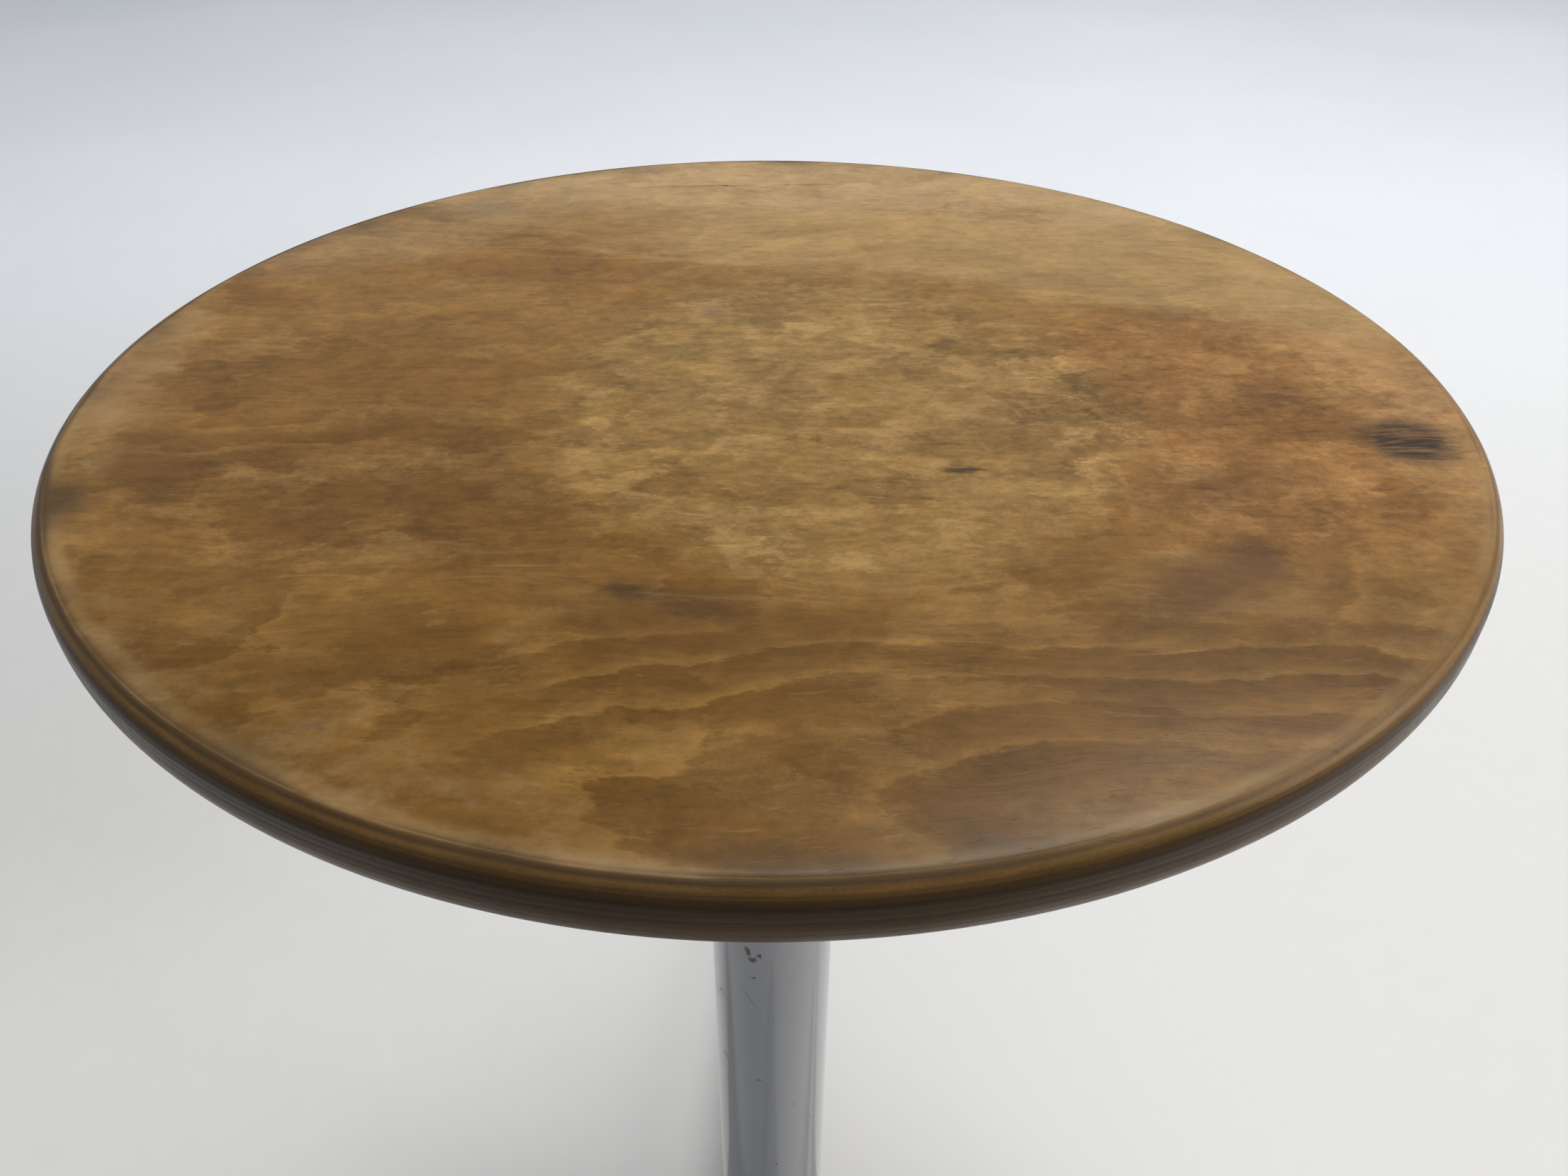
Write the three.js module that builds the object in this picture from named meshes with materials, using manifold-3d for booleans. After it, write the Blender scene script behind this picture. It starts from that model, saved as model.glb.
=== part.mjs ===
// Screw-spindle swivel stool: a round plywood seat on a threaded spindle that turns in a nut at the
// top of a steel column, on a base of four channel legs. Turning the seat raises or lowers it.
// Millimetres, +Z up. The origin is on the floor, on the column's axis. Legs point along X and Y.
import * as THREE from 'three';
import { mergeVertices } from 'three/addons/utils/BufferGeometryUtils.js';
import Module from 'manifold-3d';

const wasm = await Module();
wasm.setup();

// ---------------------------------------------------------------- driving dimensions
const GAP = 0.3; // clearance between pieces that touch

const SEAT_TOP = 535; // seat height above the floor, half way up the spindle's travel
const SEAT_R = 175;
const SEAT_T = 18;
const TOP_ROUND = 5;
const BOTTOM_ROUND = 10;

const PITCH = 8; // Tr 28 x 8 spindle: one turn lifts the seat by this much
const THREAD_R = 14;
const THREAD_ROOT_R = 9.5;
const CREST = 0.366; // width of the crest and of the root, as a share of the pitch
const THREAD_SIDES = 16;
const THREAD_PLAY = 0.35; // room all round the thread inside the nut

const COLUMN_R = 22.5;
const COLUMN_WALL = 2;
const COLUMN_TOP = 402;
const COLUMN_BOTTOM = 34;

const LIFT_UP = 81; // free way up, to the guide bush under the nut
const NUT_FLANGE = 5;
const NUT_DEPTH = 40;

const LEG_COUNT = 4;
const LEG_REACH = 250; // from the axis to a leg's tip
const LEG_HALF_WIDTH = 17;
const LEG_SHEET = 2.5;
const FOOT_R = 17;
const FOOT_HEIGHT = 15.7;

// ---------------------------------------------------------------- levels worked out from them
const SEAT_UNDER = SEAT_TOP - SEAT_T;
const PLATE_T = 3;
const PLATE_TOP = SEAT_UNDER - GAP;
const PLATE_UNDER = PLATE_TOP - PLATE_T;
const HUB_TOP = PLATE_UNDER - GAP;
const HUB_BOTTOM = 485;
const NUT_BOTTOM = COLUMN_TOP - NUT_DEPTH;
const BUSH_TOP = NUT_BOTTOM - LIFT_UP;
const BUSH_LENGTH = 24;
const BUSH_BOTTOM = BUSH_TOP - BUSH_LENGTH;
const BORE_R = COLUMN_R - COLUMN_WALL;

// ---------------------------------------------------------------- materials
const paint = (color, roughness, metalness) =>
  new THREE.MeshStandardMaterial({ color, roughness, metalness });

const PLYWOOD = paint(0x9a7448, 0.45, 0);
const ENAMEL = paint(0x8b8e90, 0.25, 0);
const STEEL = paint(0x7d7b77, 0.4, 1);
const ZINC = paint(0xb9bcbf, 0.35, 1);
const BRONZE = paint(0x9c7a45, 0.45, 1);
const ACETAL = paint(0xd9d7cd, 0.5, 0);
const RUBBER = paint(0x24252a, 0.8, 0);

// ---------------------------------------------------------------- solids
function toSolid(geometry) {
  const bare = geometry.index ? geometry.toNonIndexed() : geometry.clone();
  bare.deleteAttribute('normal');
  bare.deleteAttribute('uv');
  const merged = mergeVertices(bare, 1e-4);
  return new wasm.Manifold(
    new wasm.Mesh({
      numProp: 3,
      vertProperties: new Float32Array(merged.attributes.position.array),
      triVerts: new Uint32Array(merged.index.array),
    }),
  );
}

function toGeometry(solid) {
  const mesh = solid.getMesh();
  const geometry = new THREE.BufferGeometry();
  geometry.setAttribute('position', new THREE.BufferAttribute(new Float32Array(mesh.vertProperties), 3));
  geometry.setIndex(new THREE.BufferAttribute(new Uint32Array(mesh.triVerts), 1));
  geometry.computeVertexNormals();
  return geometry;
}

const cut = (body, ...tools) =>
  toGeometry(tools.reduce((left, tool) => left.subtract(toSolid(tool)), toSolid(body)));

// A solid of revolution about Z from [radius, height] points.
function turned(points, sides) {
  const profile = points.map(([r, z]) => new THREE.Vector2(r, z));
  return new THREE.LatheGeometry(profile, sides).rotateX(Math.PI / 2);
}

// A ring between two radii and two heights, its profile closed on itself.
function ring(rIn, rOut, bottom, top, sides) {
  return turned([[rIn, bottom], [rOut, bottom], [rOut, top], [rIn, top], [rIn, bottom]], sides);
}

function rod(radius, bottom, top, sides = 24) {
  return turned([[0, bottom], [radius, bottom], [radius, top], [0, top]], sides);
}

// A rod lying along +X from one distance to another, at a height.
const spoke = (radius, from, to, height, sides = 16) =>
  rod(radius, from, to, sides).rotateY(Math.PI / 2).translate(0, 0, height);

// Points along an arc about a centre, between two angles.
function arc(centre, radius, fromDeg, toDeg, steps) {
  return Array.from({ length: steps + 1 }, (_, i) => {
    const angle = THREE.MathUtils.degToRad(fromDeg + ((toDeg - fromDeg) * i) / steps);
    return [centre[0] + radius * Math.cos(angle), centre[1] + radius * Math.sin(angle)];
  });
}

// A single-start right-hand trapezoidal thread about Z, as a closed solid. Each row of the grid is
// a helix, and a row runs on into the row one pitch above it. The ends are rough and get trimmed.
function threadedBar(bottom, top, grow) {
  const root = THREAD_ROOT_R + grow;
  const tip = THREAD_R + grow;
  const spread = (2 * grow) / PITCH; // a grown thread is thicker, as a nut's groove is
  const flank = (1 - 2 * CREST) / 2;
  const section = [
    [tip, 0],
    [tip, CREST + spread],
    [root, CREST + flank + spread],
    [root, 1 - flank],
  ].map(([r, share]) => [r, (share - CREST / 2 - spread / 2) * PITCH]);
  const turns = Math.ceil((top - bottom) / PITCH) + 3;
  const rows = turns * section.length;
  const start = Math.floor(bottom / PITCH - 1) * PITCH;
  const positions = [];
  const index = (row, side) => {
    const around = Math.floor(side / THREAD_SIDES);
    return (row + around * section.length) * THREAD_SIDES + (side % THREAD_SIDES);
  };
  for (let row = 0; row <= rows; row += 1) {
    const [r, rise] = section[row % section.length];
    const lift = Math.floor(row / section.length) * PITCH;
    for (let side = 0; side < THREAD_SIDES; side += 1) {
      const share = side / THREAD_SIDES;
      const angle = share * 2 * Math.PI;
      const z = start + lift + rise + share * PITCH;
      positions.push(r * Math.cos(angle), r * Math.sin(angle), z);
    }
  }
  const faces = [];
  const lastRow = rows - section.length;
  for (let row = 0; row < lastRow; row += 1) {
    for (let side = 0; side < THREAD_SIDES; side += 1) {
      const [a, b] = [index(row, side), index(row, side + 1)];
      const [c, d] = [index(row + 1, side), index(row + 1, side + 1)];
      faces.push(a, b, d, a, d, c);
    }
  }
  // each end is a fan from a point on the axis to the open edge, which climbs one pitch
  const rim = (row) => {
    const loop = [];
    for (let side = 0; side <= THREAD_SIDES; side += 1) loop.push(index(row, side));
    for (let back = section.length - 1; back > 0; back -= 1) loop.push(index(row + back, 0));
    return loop;
  };
  const middle = (row) => {
    const [, rise] = section[row % section.length];
    return start + rise + (Math.floor(row / section.length) + 0.5) * PITCH;
  };
  for (const [row, flip] of [[0, true], [lastRow, false]]) {
    const loop = rim(row);
    const hub = positions.length / 3;
    positions.push(0, 0, middle(row));
    loop.forEach((from, i) => {
      const to = loop[(i + 1) % loop.length];
      faces.push(...(flip ? [hub, to, from] : [hub, from, to]));
    });
  }
  const used = [...new Set(faces)].sort((a, b) => a - b);
  const place = new Map(used.map((old, i) => [old, i]));
  const geometry = new THREE.BufferGeometry();
  const kept = used.flatMap((old) => positions.slice(3 * old, 3 * old + 3));
  geometry.setAttribute('position', new THREE.BufferAttribute(new Float32Array(kept), 3));
  geometry.setIndex(faces.map((old) => place.get(old)));
  return geometry;
}

// ---------------------------------------------------------------- the scene graph
const stool = new THREE.Group();
stool.name = 'swivel_stool';

function add(name, geometry, material, parent = stool) {
  const mesh = new THREE.Mesh(geometry, material);
  mesh.name = name;
  parent.add(mesh);
  return mesh;
}

// A group turned about Z, for pieces repeated round the axis.
function turnedGroup(degrees) {
  const group = new THREE.Group();
  group.rotation.z = THREE.MathUtils.degToRad(degrees);
  stool.add(group);
  return group;
}

// ---------------------------------------------------------------- seat
const SEAT_SCREW = { circle: 68, shankR: 2.2, headR: 4.5, headT: 2.8, intoWood: 12 };
const SEAT_SCREW_ANGLES = [45, 135, 225, 315];
const PLATE_R = 90;

// A hole on the seat screws' circle, between two heights.
function seatScrewHoles(bottom, top) {
  return SEAT_SCREW_ANGLES.map((degrees) =>
    rod(SEAT_SCREW.shankR + GAP, bottom, top, 12)
      .translate(SEAT_SCREW.circle, 0, 0)
      .rotateZ(THREE.MathUtils.degToRad(degrees)),
  );
}

function seatBoard() {
  const under = arc([SEAT_R - BOTTOM_ROUND, SEAT_UNDER + BOTTOM_ROUND], BOTTOM_ROUND, -90, 0, 4);
  const over = arc([SEAT_R - TOP_ROUND, SEAT_TOP - TOP_ROUND], TOP_ROUND, 0, 90, 3);
  const disc = turned([[0, SEAT_UNDER], ...under, ...over, [0, SEAT_TOP]], 72);
  return cut(disc, ...seatScrewHoles(SEAT_UNDER - 1, SEAT_UNDER + SEAT_SCREW.intoWood));
}

function seatPlate() {
  const disc = turned([[0, PLATE_UNDER], [PLATE_R - 1.5, PLATE_UNDER], [PLATE_R, PLATE_UNDER + 1.5],
    [PLATE_R, PLATE_TOP], [0, PLATE_TOP]], 40);
  return cut(disc, ...seatScrewHoles(PLATE_UNDER - 1, PLATE_TOP + 1));
}

function seatScrew() {
  const head = PLATE_UNDER - GAP;
  const point = SEAT_UNDER + SEAT_SCREW.intoWood - GAP;
  return turned([[0, head - SEAT_SCREW.headT], [SEAT_SCREW.headR - 1.5, head - SEAT_SCREW.headT],
    [SEAT_SCREW.headR, head - 1], [SEAT_SCREW.headR, head], [SEAT_SCREW.shankR, head],
    [SEAT_SCREW.shankR, point - 3], [0, point]], 14);
}

// The boss under the plate takes the spindle's plain end, held by one bolt through its side.
const SHANK_R = 10;
const BOSS = { r: 21, boltR: 4, boltZ: 500 };

function seatBoss() {
  const body = turned([[SHANK_R + GAP, HUB_BOTTOM], [BOSS.r - 1.5, HUB_BOTTOM], [BOSS.r, HUB_BOTTOM + 1.5],
    [BOSS.r, HUB_TOP], [SHANK_R + GAP, HUB_TOP], [SHANK_R + GAP, HUB_BOTTOM]], 30);
  return cut(body, spoke(BOSS.boltR + GAP, SHANK_R - 2, BOSS.r + 2, BOSS.boltZ));
}

// A hexagon-head bolt along +X, its head's seat at one distance and its point at another.
function hexBolt(shankR, headAcross, headT, seat, point, height) {
  const shank = toSolid(spoke(shankR, point, seat + headT / 2, height));
  const head = toSolid(spoke(headAcross / Math.sqrt(3), seat, seat + headT, height, 6));
  return toGeometry(shank.add(head));
}

add('seat_board', seatBoard(), PLYWOOD);
add('seat_plate', seatPlate(), STEEL);
add('seat_boss', seatBoss(), STEEL);
add('boss_bolt', hexBolt(BOSS.boltR, 13, 5.3, BOSS.r + GAP, SHANK_R + GAP, BOSS.boltZ), ZINC);
SEAT_SCREW_ANGLES.forEach((degrees, i) => {
  const screw = add(`seat_screw_${i + 1}`, seatScrew(), ZINC, turnedGroup(degrees));
  screw.position.x = SEAT_SCREW.circle;
});

// ---------------------------------------------------------------- spindle and its lower guide
const JOURNAL_R = 7; // the plain lower end that turns in the guide bush
const STOP_BOLT = { r: 4, headAcross: 13, headT: 5.3, depth: 18 };
const WASHER = { r: 16, t: 3 };

function spindle() {
  const threadTop = HUB_BOTTOM - GAP;
  const threadBottom = BUSH_TOP + GAP;
  const chamfer = 2;
  const envelope = turned([[0, threadBottom], [THREAD_R - chamfer - 1, threadBottom],
    [THREAD_R + 1, threadBottom + chamfer + 2], [THREAD_R + 1, threadTop], [0, threadTop]], 24);
  const thread = toSolid(threadedBar(threadBottom, threadTop, 0)).intersect(toSolid(envelope));
  const shank = toSolid(rod(SHANK_R, threadTop - 1, HUB_TOP));
  const collar = toSolid(rod(THREAD_R, threadTop - 4, threadTop));
  const journal = toSolid(rod(JOURNAL_R, BUSH_BOTTOM, threadBottom + 1));
  const boltHole = toSolid(rod(STOP_BOLT.r + GAP, BUSH_BOTTOM - 1, BUSH_BOTTOM + STOP_BOLT.depth, 16));
  return toGeometry(thread.add(shank).add(collar).add(journal).subtract(boltHole));
}

function guideBush() {
  const bore = JOURNAL_R + GAP;
  const outer = BORE_R - GAP;
  return turned([[bore, BUSH_BOTTOM], [outer - 1, BUSH_BOTTOM], [outer, BUSH_BOTTOM + 1],
    [outer, BUSH_TOP - 1], [outer - 1, BUSH_TOP], [bore, BUSH_TOP], [bore, BUSH_BOTTOM]], 28);
}

const washerTop = BUSH_BOTTOM - GAP;
const stopBolt = hexBolt(STOP_BOLT.r, STOP_BOLT.headAcross, STOP_BOLT.headT,
  0, -(WASHER.t + 2 * GAP + STOP_BOLT.depth - GAP), 0)
  .rotateY(Math.PI / 2)
  .translate(0, 0, washerTop - WASHER.t - GAP);

add('spindle', spindle(), STEEL);
add('guide_bush', guideBush(), ACETAL);
add('stop_washer', ring(STOP_BOLT.r + GAP, WASHER.r, washerTop - WASHER.t, washerTop, 24), ZINC);
add('stop_bolt', stopBolt, ZINC);

// ---------------------------------------------------------------- column and nut
const NUT_SCREW = { r: 2.5, headR: 4.6, headT: 2.8, z: COLUMN_TOP - 19, point: 15.6 };
const NUT_SCREW_ANGLES = [90, 210, 330];

const nutScrewHoles = (from, to) =>
  NUT_SCREW_ANGLES.map((degrees) =>
    spoke(NUT_SCREW.r + GAP, from, to, NUT_SCREW.z, 12).rotateZ(THREE.MathUtils.degToRad(degrees)),
  );

function columnTube() {
  const tube = ring(BORE_R, COLUMN_R, COLUMN_BOTTOM, COLUMN_TOP, 48);
  return cut(tube, ...nutScrewHoles(BORE_R - 2, COLUMN_R + 2));
}

// A flanged nut that sits in the top of the tube.
function spindleNut() {
  const outer = BORE_R - GAP;
  const flangeUnder = COLUMN_TOP + GAP;
  const flangeTop = flangeUnder + NUT_FLANGE;
  const body = turned([[0, NUT_BOTTOM], [outer - 1, NUT_BOTTOM], [outer, NUT_BOTTOM + 1],
    [outer, flangeUnder], [COLUMN_R, flangeUnder], [COLUMN_R, flangeTop - 1.5],
    [COLUMN_R - 1.5, flangeTop], [0, flangeTop]], 40);
  const groove = threadedBar(NUT_BOTTOM - 2, flangeTop + 2, THREAD_PLAY);
  return cut(body, groove, ...nutScrewHoles(NUT_SCREW.point - GAP, COLUMN_R + 2));
}

function nutScrew() {
  const seat = COLUMN_R + GAP;
  return turned([[0, NUT_SCREW.point], [NUT_SCREW.r, NUT_SCREW.point], [NUT_SCREW.r, seat],
    [NUT_SCREW.headR, seat], [NUT_SCREW.headR, seat + 1], [NUT_SCREW.headR - 1.4, seat + NUT_SCREW.headT],
    [0, seat + NUT_SCREW.headT]], 14).rotateY(Math.PI / 2);
}

add('column_tube', columnTube(), ENAMEL);
add('spindle_nut', spindleNut(), BRONZE);
NUT_SCREW_ANGLES.forEach((degrees, i) => {
  const screw = add(`nut_screw_${i + 1}`, nutScrew(), ZINC, turnedGroup(degrees));
  screw.position.z = NUT_SCREW.z;
});

// ---------------------------------------------------------------- base
const SOCKET = { rIn: COLUMN_R + GAP, r: 29, bottom: 32, top: 88 };
const SOCKET_SCREW = { r: 3, hexR: 1.8, z: 81, angles: [45, 225] };

// The sleeve that the column stands in. Two grub screws grip the column.
function baseSocket() {
  const { rIn, r, bottom, top } = SOCKET;
  const body = turned([[rIn, bottom], [r, bottom], [r, top - 2], [r - 2, top], [rIn, top],
    [rIn, bottom]], 40);
  const holes = SOCKET_SCREW.angles.map((degrees) =>
    spoke(SOCKET_SCREW.r + GAP, rIn - 2, r + 2, SOCKET_SCREW.z, 16)
      .rotateZ(THREE.MathUtils.degToRad(degrees)),
  );
  return cut(body, ...holes);
}

// A socket-head grub screw, flush with the sleeve.
function grubScrew() {
  const from = COLUMN_R + GAP;
  const to = SOCKET.r + 1.5;
  const hexagon = spoke(SOCKET_SCREW.hexR, to - 3.5, to + 1, SOCKET_SCREW.z, 6);
  return cut(spoke(SOCKET_SCREW.r, from, to, SOCKET_SCREW.z), hexagon);
}

// The plug that closes the bottom of the column and its sleeve.
function basePlug() {
  const stem = BORE_R - GAP;
  const flangeTop = SOCKET.bottom - GAP;
  return turned([[0, flangeTop - 3], [SOCKET.r - 2, flangeTop - 3], [SOCKET.r - 1, flangeTop - 2],
    [SOCKET.r - 1, flangeTop], [stem, flangeTop], [stem, flangeTop + 14], [stem - 3, flangeTop + 17],
    [0, flangeTop + 17]], 28);
}

add('base_socket', baseSocket(), ENAMEL);
SOCKET_SCREW.angles.forEach((degrees, i) => {
  add(`socket_screw_${i + 1}`, grubScrew(), STEEL, turnedGroup(degrees));
});
add('base_plug', basePlug(), RUBBER);

// ---------------------------------------------------------------- legs
const LEG_ROOT = { bottom: 36, top: 74 }; // at the socket
const LEG_TIP = { bottom: 16, top: 38 };
const LEG_BEND = { at: 150, top: 55 }; // the upper edge runs straight to here, then eases to the tip
const FOOT_AT = LEG_REACH - LEG_HALF_WIDTH;
const STUD = { r: 4, bottom: 5, top: 27 };

// The leg seen from its side, as a plate of the given half width. Shrunk by the sheet's thickness
// it is the space inside the channel, which runs out below.
function legSide(inset, halfWidth) {
  const root = SOCKET.r - 4;
  const tip = LEG_REACH + 5;
  const below = inset ? 30 : 0;
  const slope = (LEG_ROOT.bottom - LEG_TIP.bottom) / (LEG_REACH - SOCKET.r);
  const footStart = FOOT_AT - FOOT_R - 8;
  const shape = new THREE.Shape();
  shape.moveTo(root, LEG_ROOT.bottom + slope * 4 - below);
  shape.lineTo(footStart, LEG_TIP.bottom - below);
  shape.lineTo(tip, LEG_TIP.bottom - below);
  shape.lineTo(tip, LEG_TIP.top - inset);
  shape.quadraticCurveTo(LEG_REACH - 30, LEG_TIP.top - inset, LEG_BEND.at, LEG_BEND.top - inset);
  shape.lineTo(root, LEG_ROOT.top + 0.6 - inset);
  shape.closePath();
  return new THREE.ExtrudeGeometry(shape, { depth: 2 * halfWidth, bevelEnabled: false, curveSegments: 6 })
    .rotateX(Math.PI / 2)
    .translate(0, halfWidth, 0);
}

// The leg seen from above: straight sides and a round end, cut back to the socket's curve.
function legPlan(inset) {
  const half = LEG_HALF_WIDTH - inset;
  const shape = new THREE.Shape();
  shape.moveTo(0, -half);
  shape.lineTo(FOOT_AT, -half);
  shape.absarc(FOOT_AT, 0, half, -Math.PI / 2, Math.PI / 2, false);
  shape.lineTo(0, half);
  shape.closePath();
  return new THREE.ExtrudeGeometry(shape, { depth: 200, bevelEnabled: false, curveSegments: 7 })
    .translate(0, 0, -30);
}

function legSolid() {
  const outer = toSolid(legSide(0, 40)).intersect(toSolid(legPlan(0)));
  const inner = toSolid(legSide(LEG_SHEET, 40)).intersect(toSolid(legPlan(LEG_SHEET)));
  const footPlate = toSolid(rod(FOOT_R + 2, LEG_TIP.bottom, LEG_TIP.bottom + 3).translate(FOOT_AT, 0, 0))
    .intersect(toSolid(legPlan(0)));
  const hole = rod(STUD.r + GAP, 0, LEG_TIP.bottom + 10, 12).translate(FOOT_AT, 0, 0);
  const socket = rod(SOCKET.r + GAP, 0, 200, 40);
  return toGeometry(outer.subtract(inner).add(footPlate).subtract(toSolid(hole)).subtract(toSolid(socket)));
}

// A round moulded foot with a blind hole for its stud.
function footPad() {
  const body = turned([[0, 0], [FOOT_R - 2, 0], [FOOT_R, 2], [FOOT_R, 8], [FOOT_R - 3, 11],
    [FOOT_R - 5, FOOT_HEIGHT], [0, FOOT_HEIGHT]], 24);
  return cut(body, rod(STUD.r + GAP, STUD.bottom - GAP, FOOT_HEIGHT + 1, 12));
}

for (let i = 0; i < LEG_COUNT; i += 1) {
  const side = turnedGroup((360 / LEG_COUNT) * i);
  add(`leg_${i + 1}`, legSolid(), ENAMEL, side);
  const pad = add(`foot_pad_${i + 1}`, footPad(), RUBBER, side);
  const stud = add(`foot_stud_${i + 1}`, rod(STUD.r, STUD.bottom, STUD.top, 12), ZINC, side);
  pad.position.x = FOOT_AT;
  stud.position.x = FOOT_AT;
}

export default stool;
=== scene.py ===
"""Looks of the screw-spindle swivel stool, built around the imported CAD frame.

Lengths in this file are millimetres, as in the CAD source, and turn into metres when a mesh is made.
Z is up, the origin is on the floor on the column's axis, and the wood grain runs along X.
"""

import math

import bmesh
import bpy
from mathutils import Matrix, Vector, noise


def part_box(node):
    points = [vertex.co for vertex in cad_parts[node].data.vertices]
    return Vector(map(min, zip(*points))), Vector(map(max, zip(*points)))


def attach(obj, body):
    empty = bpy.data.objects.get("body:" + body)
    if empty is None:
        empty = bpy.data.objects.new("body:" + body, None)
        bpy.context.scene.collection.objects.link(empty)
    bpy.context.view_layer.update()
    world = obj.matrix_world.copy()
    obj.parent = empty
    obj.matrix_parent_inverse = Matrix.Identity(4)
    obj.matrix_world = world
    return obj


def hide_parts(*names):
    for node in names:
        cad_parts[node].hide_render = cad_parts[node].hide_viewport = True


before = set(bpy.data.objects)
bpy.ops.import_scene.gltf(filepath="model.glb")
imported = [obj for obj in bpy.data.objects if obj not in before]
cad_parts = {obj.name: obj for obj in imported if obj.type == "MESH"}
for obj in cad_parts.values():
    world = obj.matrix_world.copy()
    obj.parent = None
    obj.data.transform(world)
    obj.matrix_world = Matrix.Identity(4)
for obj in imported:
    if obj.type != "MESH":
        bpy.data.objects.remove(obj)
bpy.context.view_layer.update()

MM = 0.001
scene = bpy.context.scene


# ------------------------------------------------------------------ levels read from the frame
def level(node, top):
    """The height of a CAD node's top or bottom."""
    low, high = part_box(node)
    return (high.z if top else low.z) / MM


SEAT_TOP = level("seat_board", True)
SEAT_UNDER = level("seat_board", False)
SEAT_R = (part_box("seat_board")[1].x) / MM
PLATE_TOP = level("seat_plate", True)
PLATE_UNDER = level("seat_plate", False)
BOSS_TOP = level("seat_boss", True)
BOSS_BOTTOM = level("seat_boss", False)
COLUMN_TOP = level("column_tube", True)
COLUMN_BOTTOM = level("column_tube", False)
COLUMN_R = (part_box("column_tube")[1].x) / MM
BUSH_TOP = level("guide_bush", True)
BUSH_BOTTOM = level("guide_bush", False)
NUT_BOTTOM = level("spindle_nut", False)
SOCKET_TOP = level("base_socket", True)
SOCKET_BOTTOM = level("base_socket", False)

GAP = 0.3
BOARD_THICK = 18.0
BOSS_BOLT_Z = 500
BORE_R = COLUMN_R - 2
SEAT_SCREW_CIRCLE = 68
SEAT_SCREW_ANGLES = (45, 135, 225, 315)
NUT_SCREW_ANGLES = (90, 210, 330)
SOCKET_SCREW_ANGLES = (45, 225)
LEG_ANGLES = (0, 90, 180, 270)


# ------------------------------------------------------------------ camera
# A viewpoint fitted to the seat's outline. The focal length was chosen, not measured.
SENSOR_WIDTH, LENS = 36.0, 27.667
IN_FRONT, ABOVE_SEAT = 289.7, 140.3
YAW, TILT, ROLL = (math.radians(degrees) for degrees in (0.718, 36.475, 0.427))


def add_camera():
    """A camera just in front of the seat, looking down across it."""
    data = bpy.data.cameras.new("camera")
    data.sensor_width = SENSOR_WIDTH
    data.lens = LENS
    camera = bpy.data.objects.new("camera", data)
    scene.collection.objects.link(camera)
    forward = Vector((math.sin(YAW) * math.cos(TILT), math.cos(YAW) * math.cos(TILT), -math.sin(TILT)))
    right = Vector((math.cos(YAW), -math.sin(YAW), 0))
    up = right.cross(forward)
    right_rolled = right * math.cos(ROLL) + up * math.sin(ROLL)
    up_rolled = up * math.cos(ROLL) - right * math.sin(ROLL)
    turn = Matrix((right_rolled, up_rolled, -forward)).transposed().to_4x4()
    camera.matrix_world = Matrix.Translation((0, -IN_FRONT * MM, (SEAT_TOP + ABOVE_SEAT) * MM)) @ turn
    scene.camera = camera


add_camera()


# ------------------------------------------------------------------ mesh building
def make_object(name, points, faces, sharp=35):
    """A mesh object from points in millimetres, smooth but for edges sharper than an angle."""
    mesh = bpy.data.meshes.new(name)
    mesh.from_pydata([Vector(p) * MM for p in points], [], faces)
    mesh.validate()
    obj = bpy.data.objects.new(name, mesh)
    scene.collection.objects.link(obj)
    tidy_normals(obj, sharp)
    return obj


def tidy_normals(obj, sharp=35):
    work = bmesh.new()
    work.from_mesh(obj.data)
    bmesh.ops.remove_doubles(work, verts=work.verts, dist=2e-7)
    bmesh.ops.recalc_face_normals(work, faces=work.faces)
    work.to_mesh(obj.data)
    work.free()
    obj.data.shade_smooth()
    obj.data.set_sharp_from_angle(angle=math.radians(sharp))


EASE_STEPS = 5


def rounded(corners):
    """A profile whose corners are eased. Each corner is (radius, height) or (radius, height, ease)."""
    profile = []
    for i, (r, z, *ease) in enumerate(corners):
        if not ease:
            profile.append((r, z))
            continue
        here = Vector((r, z))
        before = Vector(corners[i - 1][:2]) - here
        after = Vector(corners[(i + 1) % len(corners)][:2]) - here
        start = here + before.normalized() * ease[0]
        end = here + after.normalized() * ease[0]
        for k in range(EASE_STEPS + 1):
            t = k / EASE_STEPS
            profile.append(tuple(start * (1 - t) ** 2 + here * 2 * t * (1 - t) + end * t * t))
    return profile


def on_circle(r, share, z):
    """The point at a share of a full turn round the Z axis."""
    angle = 2 * math.pi * share
    return (r * math.cos(angle), r * math.sin(angle), z)


def lathe(name, profile, sides=96, sharp=35):
    """A turned solid. A profile closes on itself unless it starts and ends on the axis."""
    points, rings = [], []
    for r, z in profile:
        if r < 1e-6:
            rings.append([len(points)])
            points.append((0, 0, z))
            continue
        rings.append(list(range(len(points), len(points) + sides)))
        points += [on_circle(r, k / sides, z) for k in range(sides)]
    on_axis = profile[0][0] < 1e-6 and profile[-1][0] < 1e-6
    faces = []
    for lower, upper in zip(rings, rings[1:] + ([] if on_axis else rings[:1])):
        for k in range(sides):
            n = (k + 1) % sides
            if len(lower) == 1 and len(upper) == 1:
                break
            if len(lower) == 1:
                faces.append((lower[0], upper[n], upper[k]))
            elif len(upper) == 1:
                faces.append((lower[k], lower[n], upper[0]))
            else:
                faces.append((lower[k], lower[n], upper[n], upper[k]))
    return make_object(name, points, faces, sharp)


def turned(name, corners, sides=96):
    return lathe(name, rounded(corners), sides)


def prism(name, across, bottom, top, sides=6):
    """A regular prism, measured across its flats."""
    r = across / 2 / math.cos(math.pi / sides)
    return lathe(name, [(0, bottom), (r, bottom), (r, top), (0, top)], sides)


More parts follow.
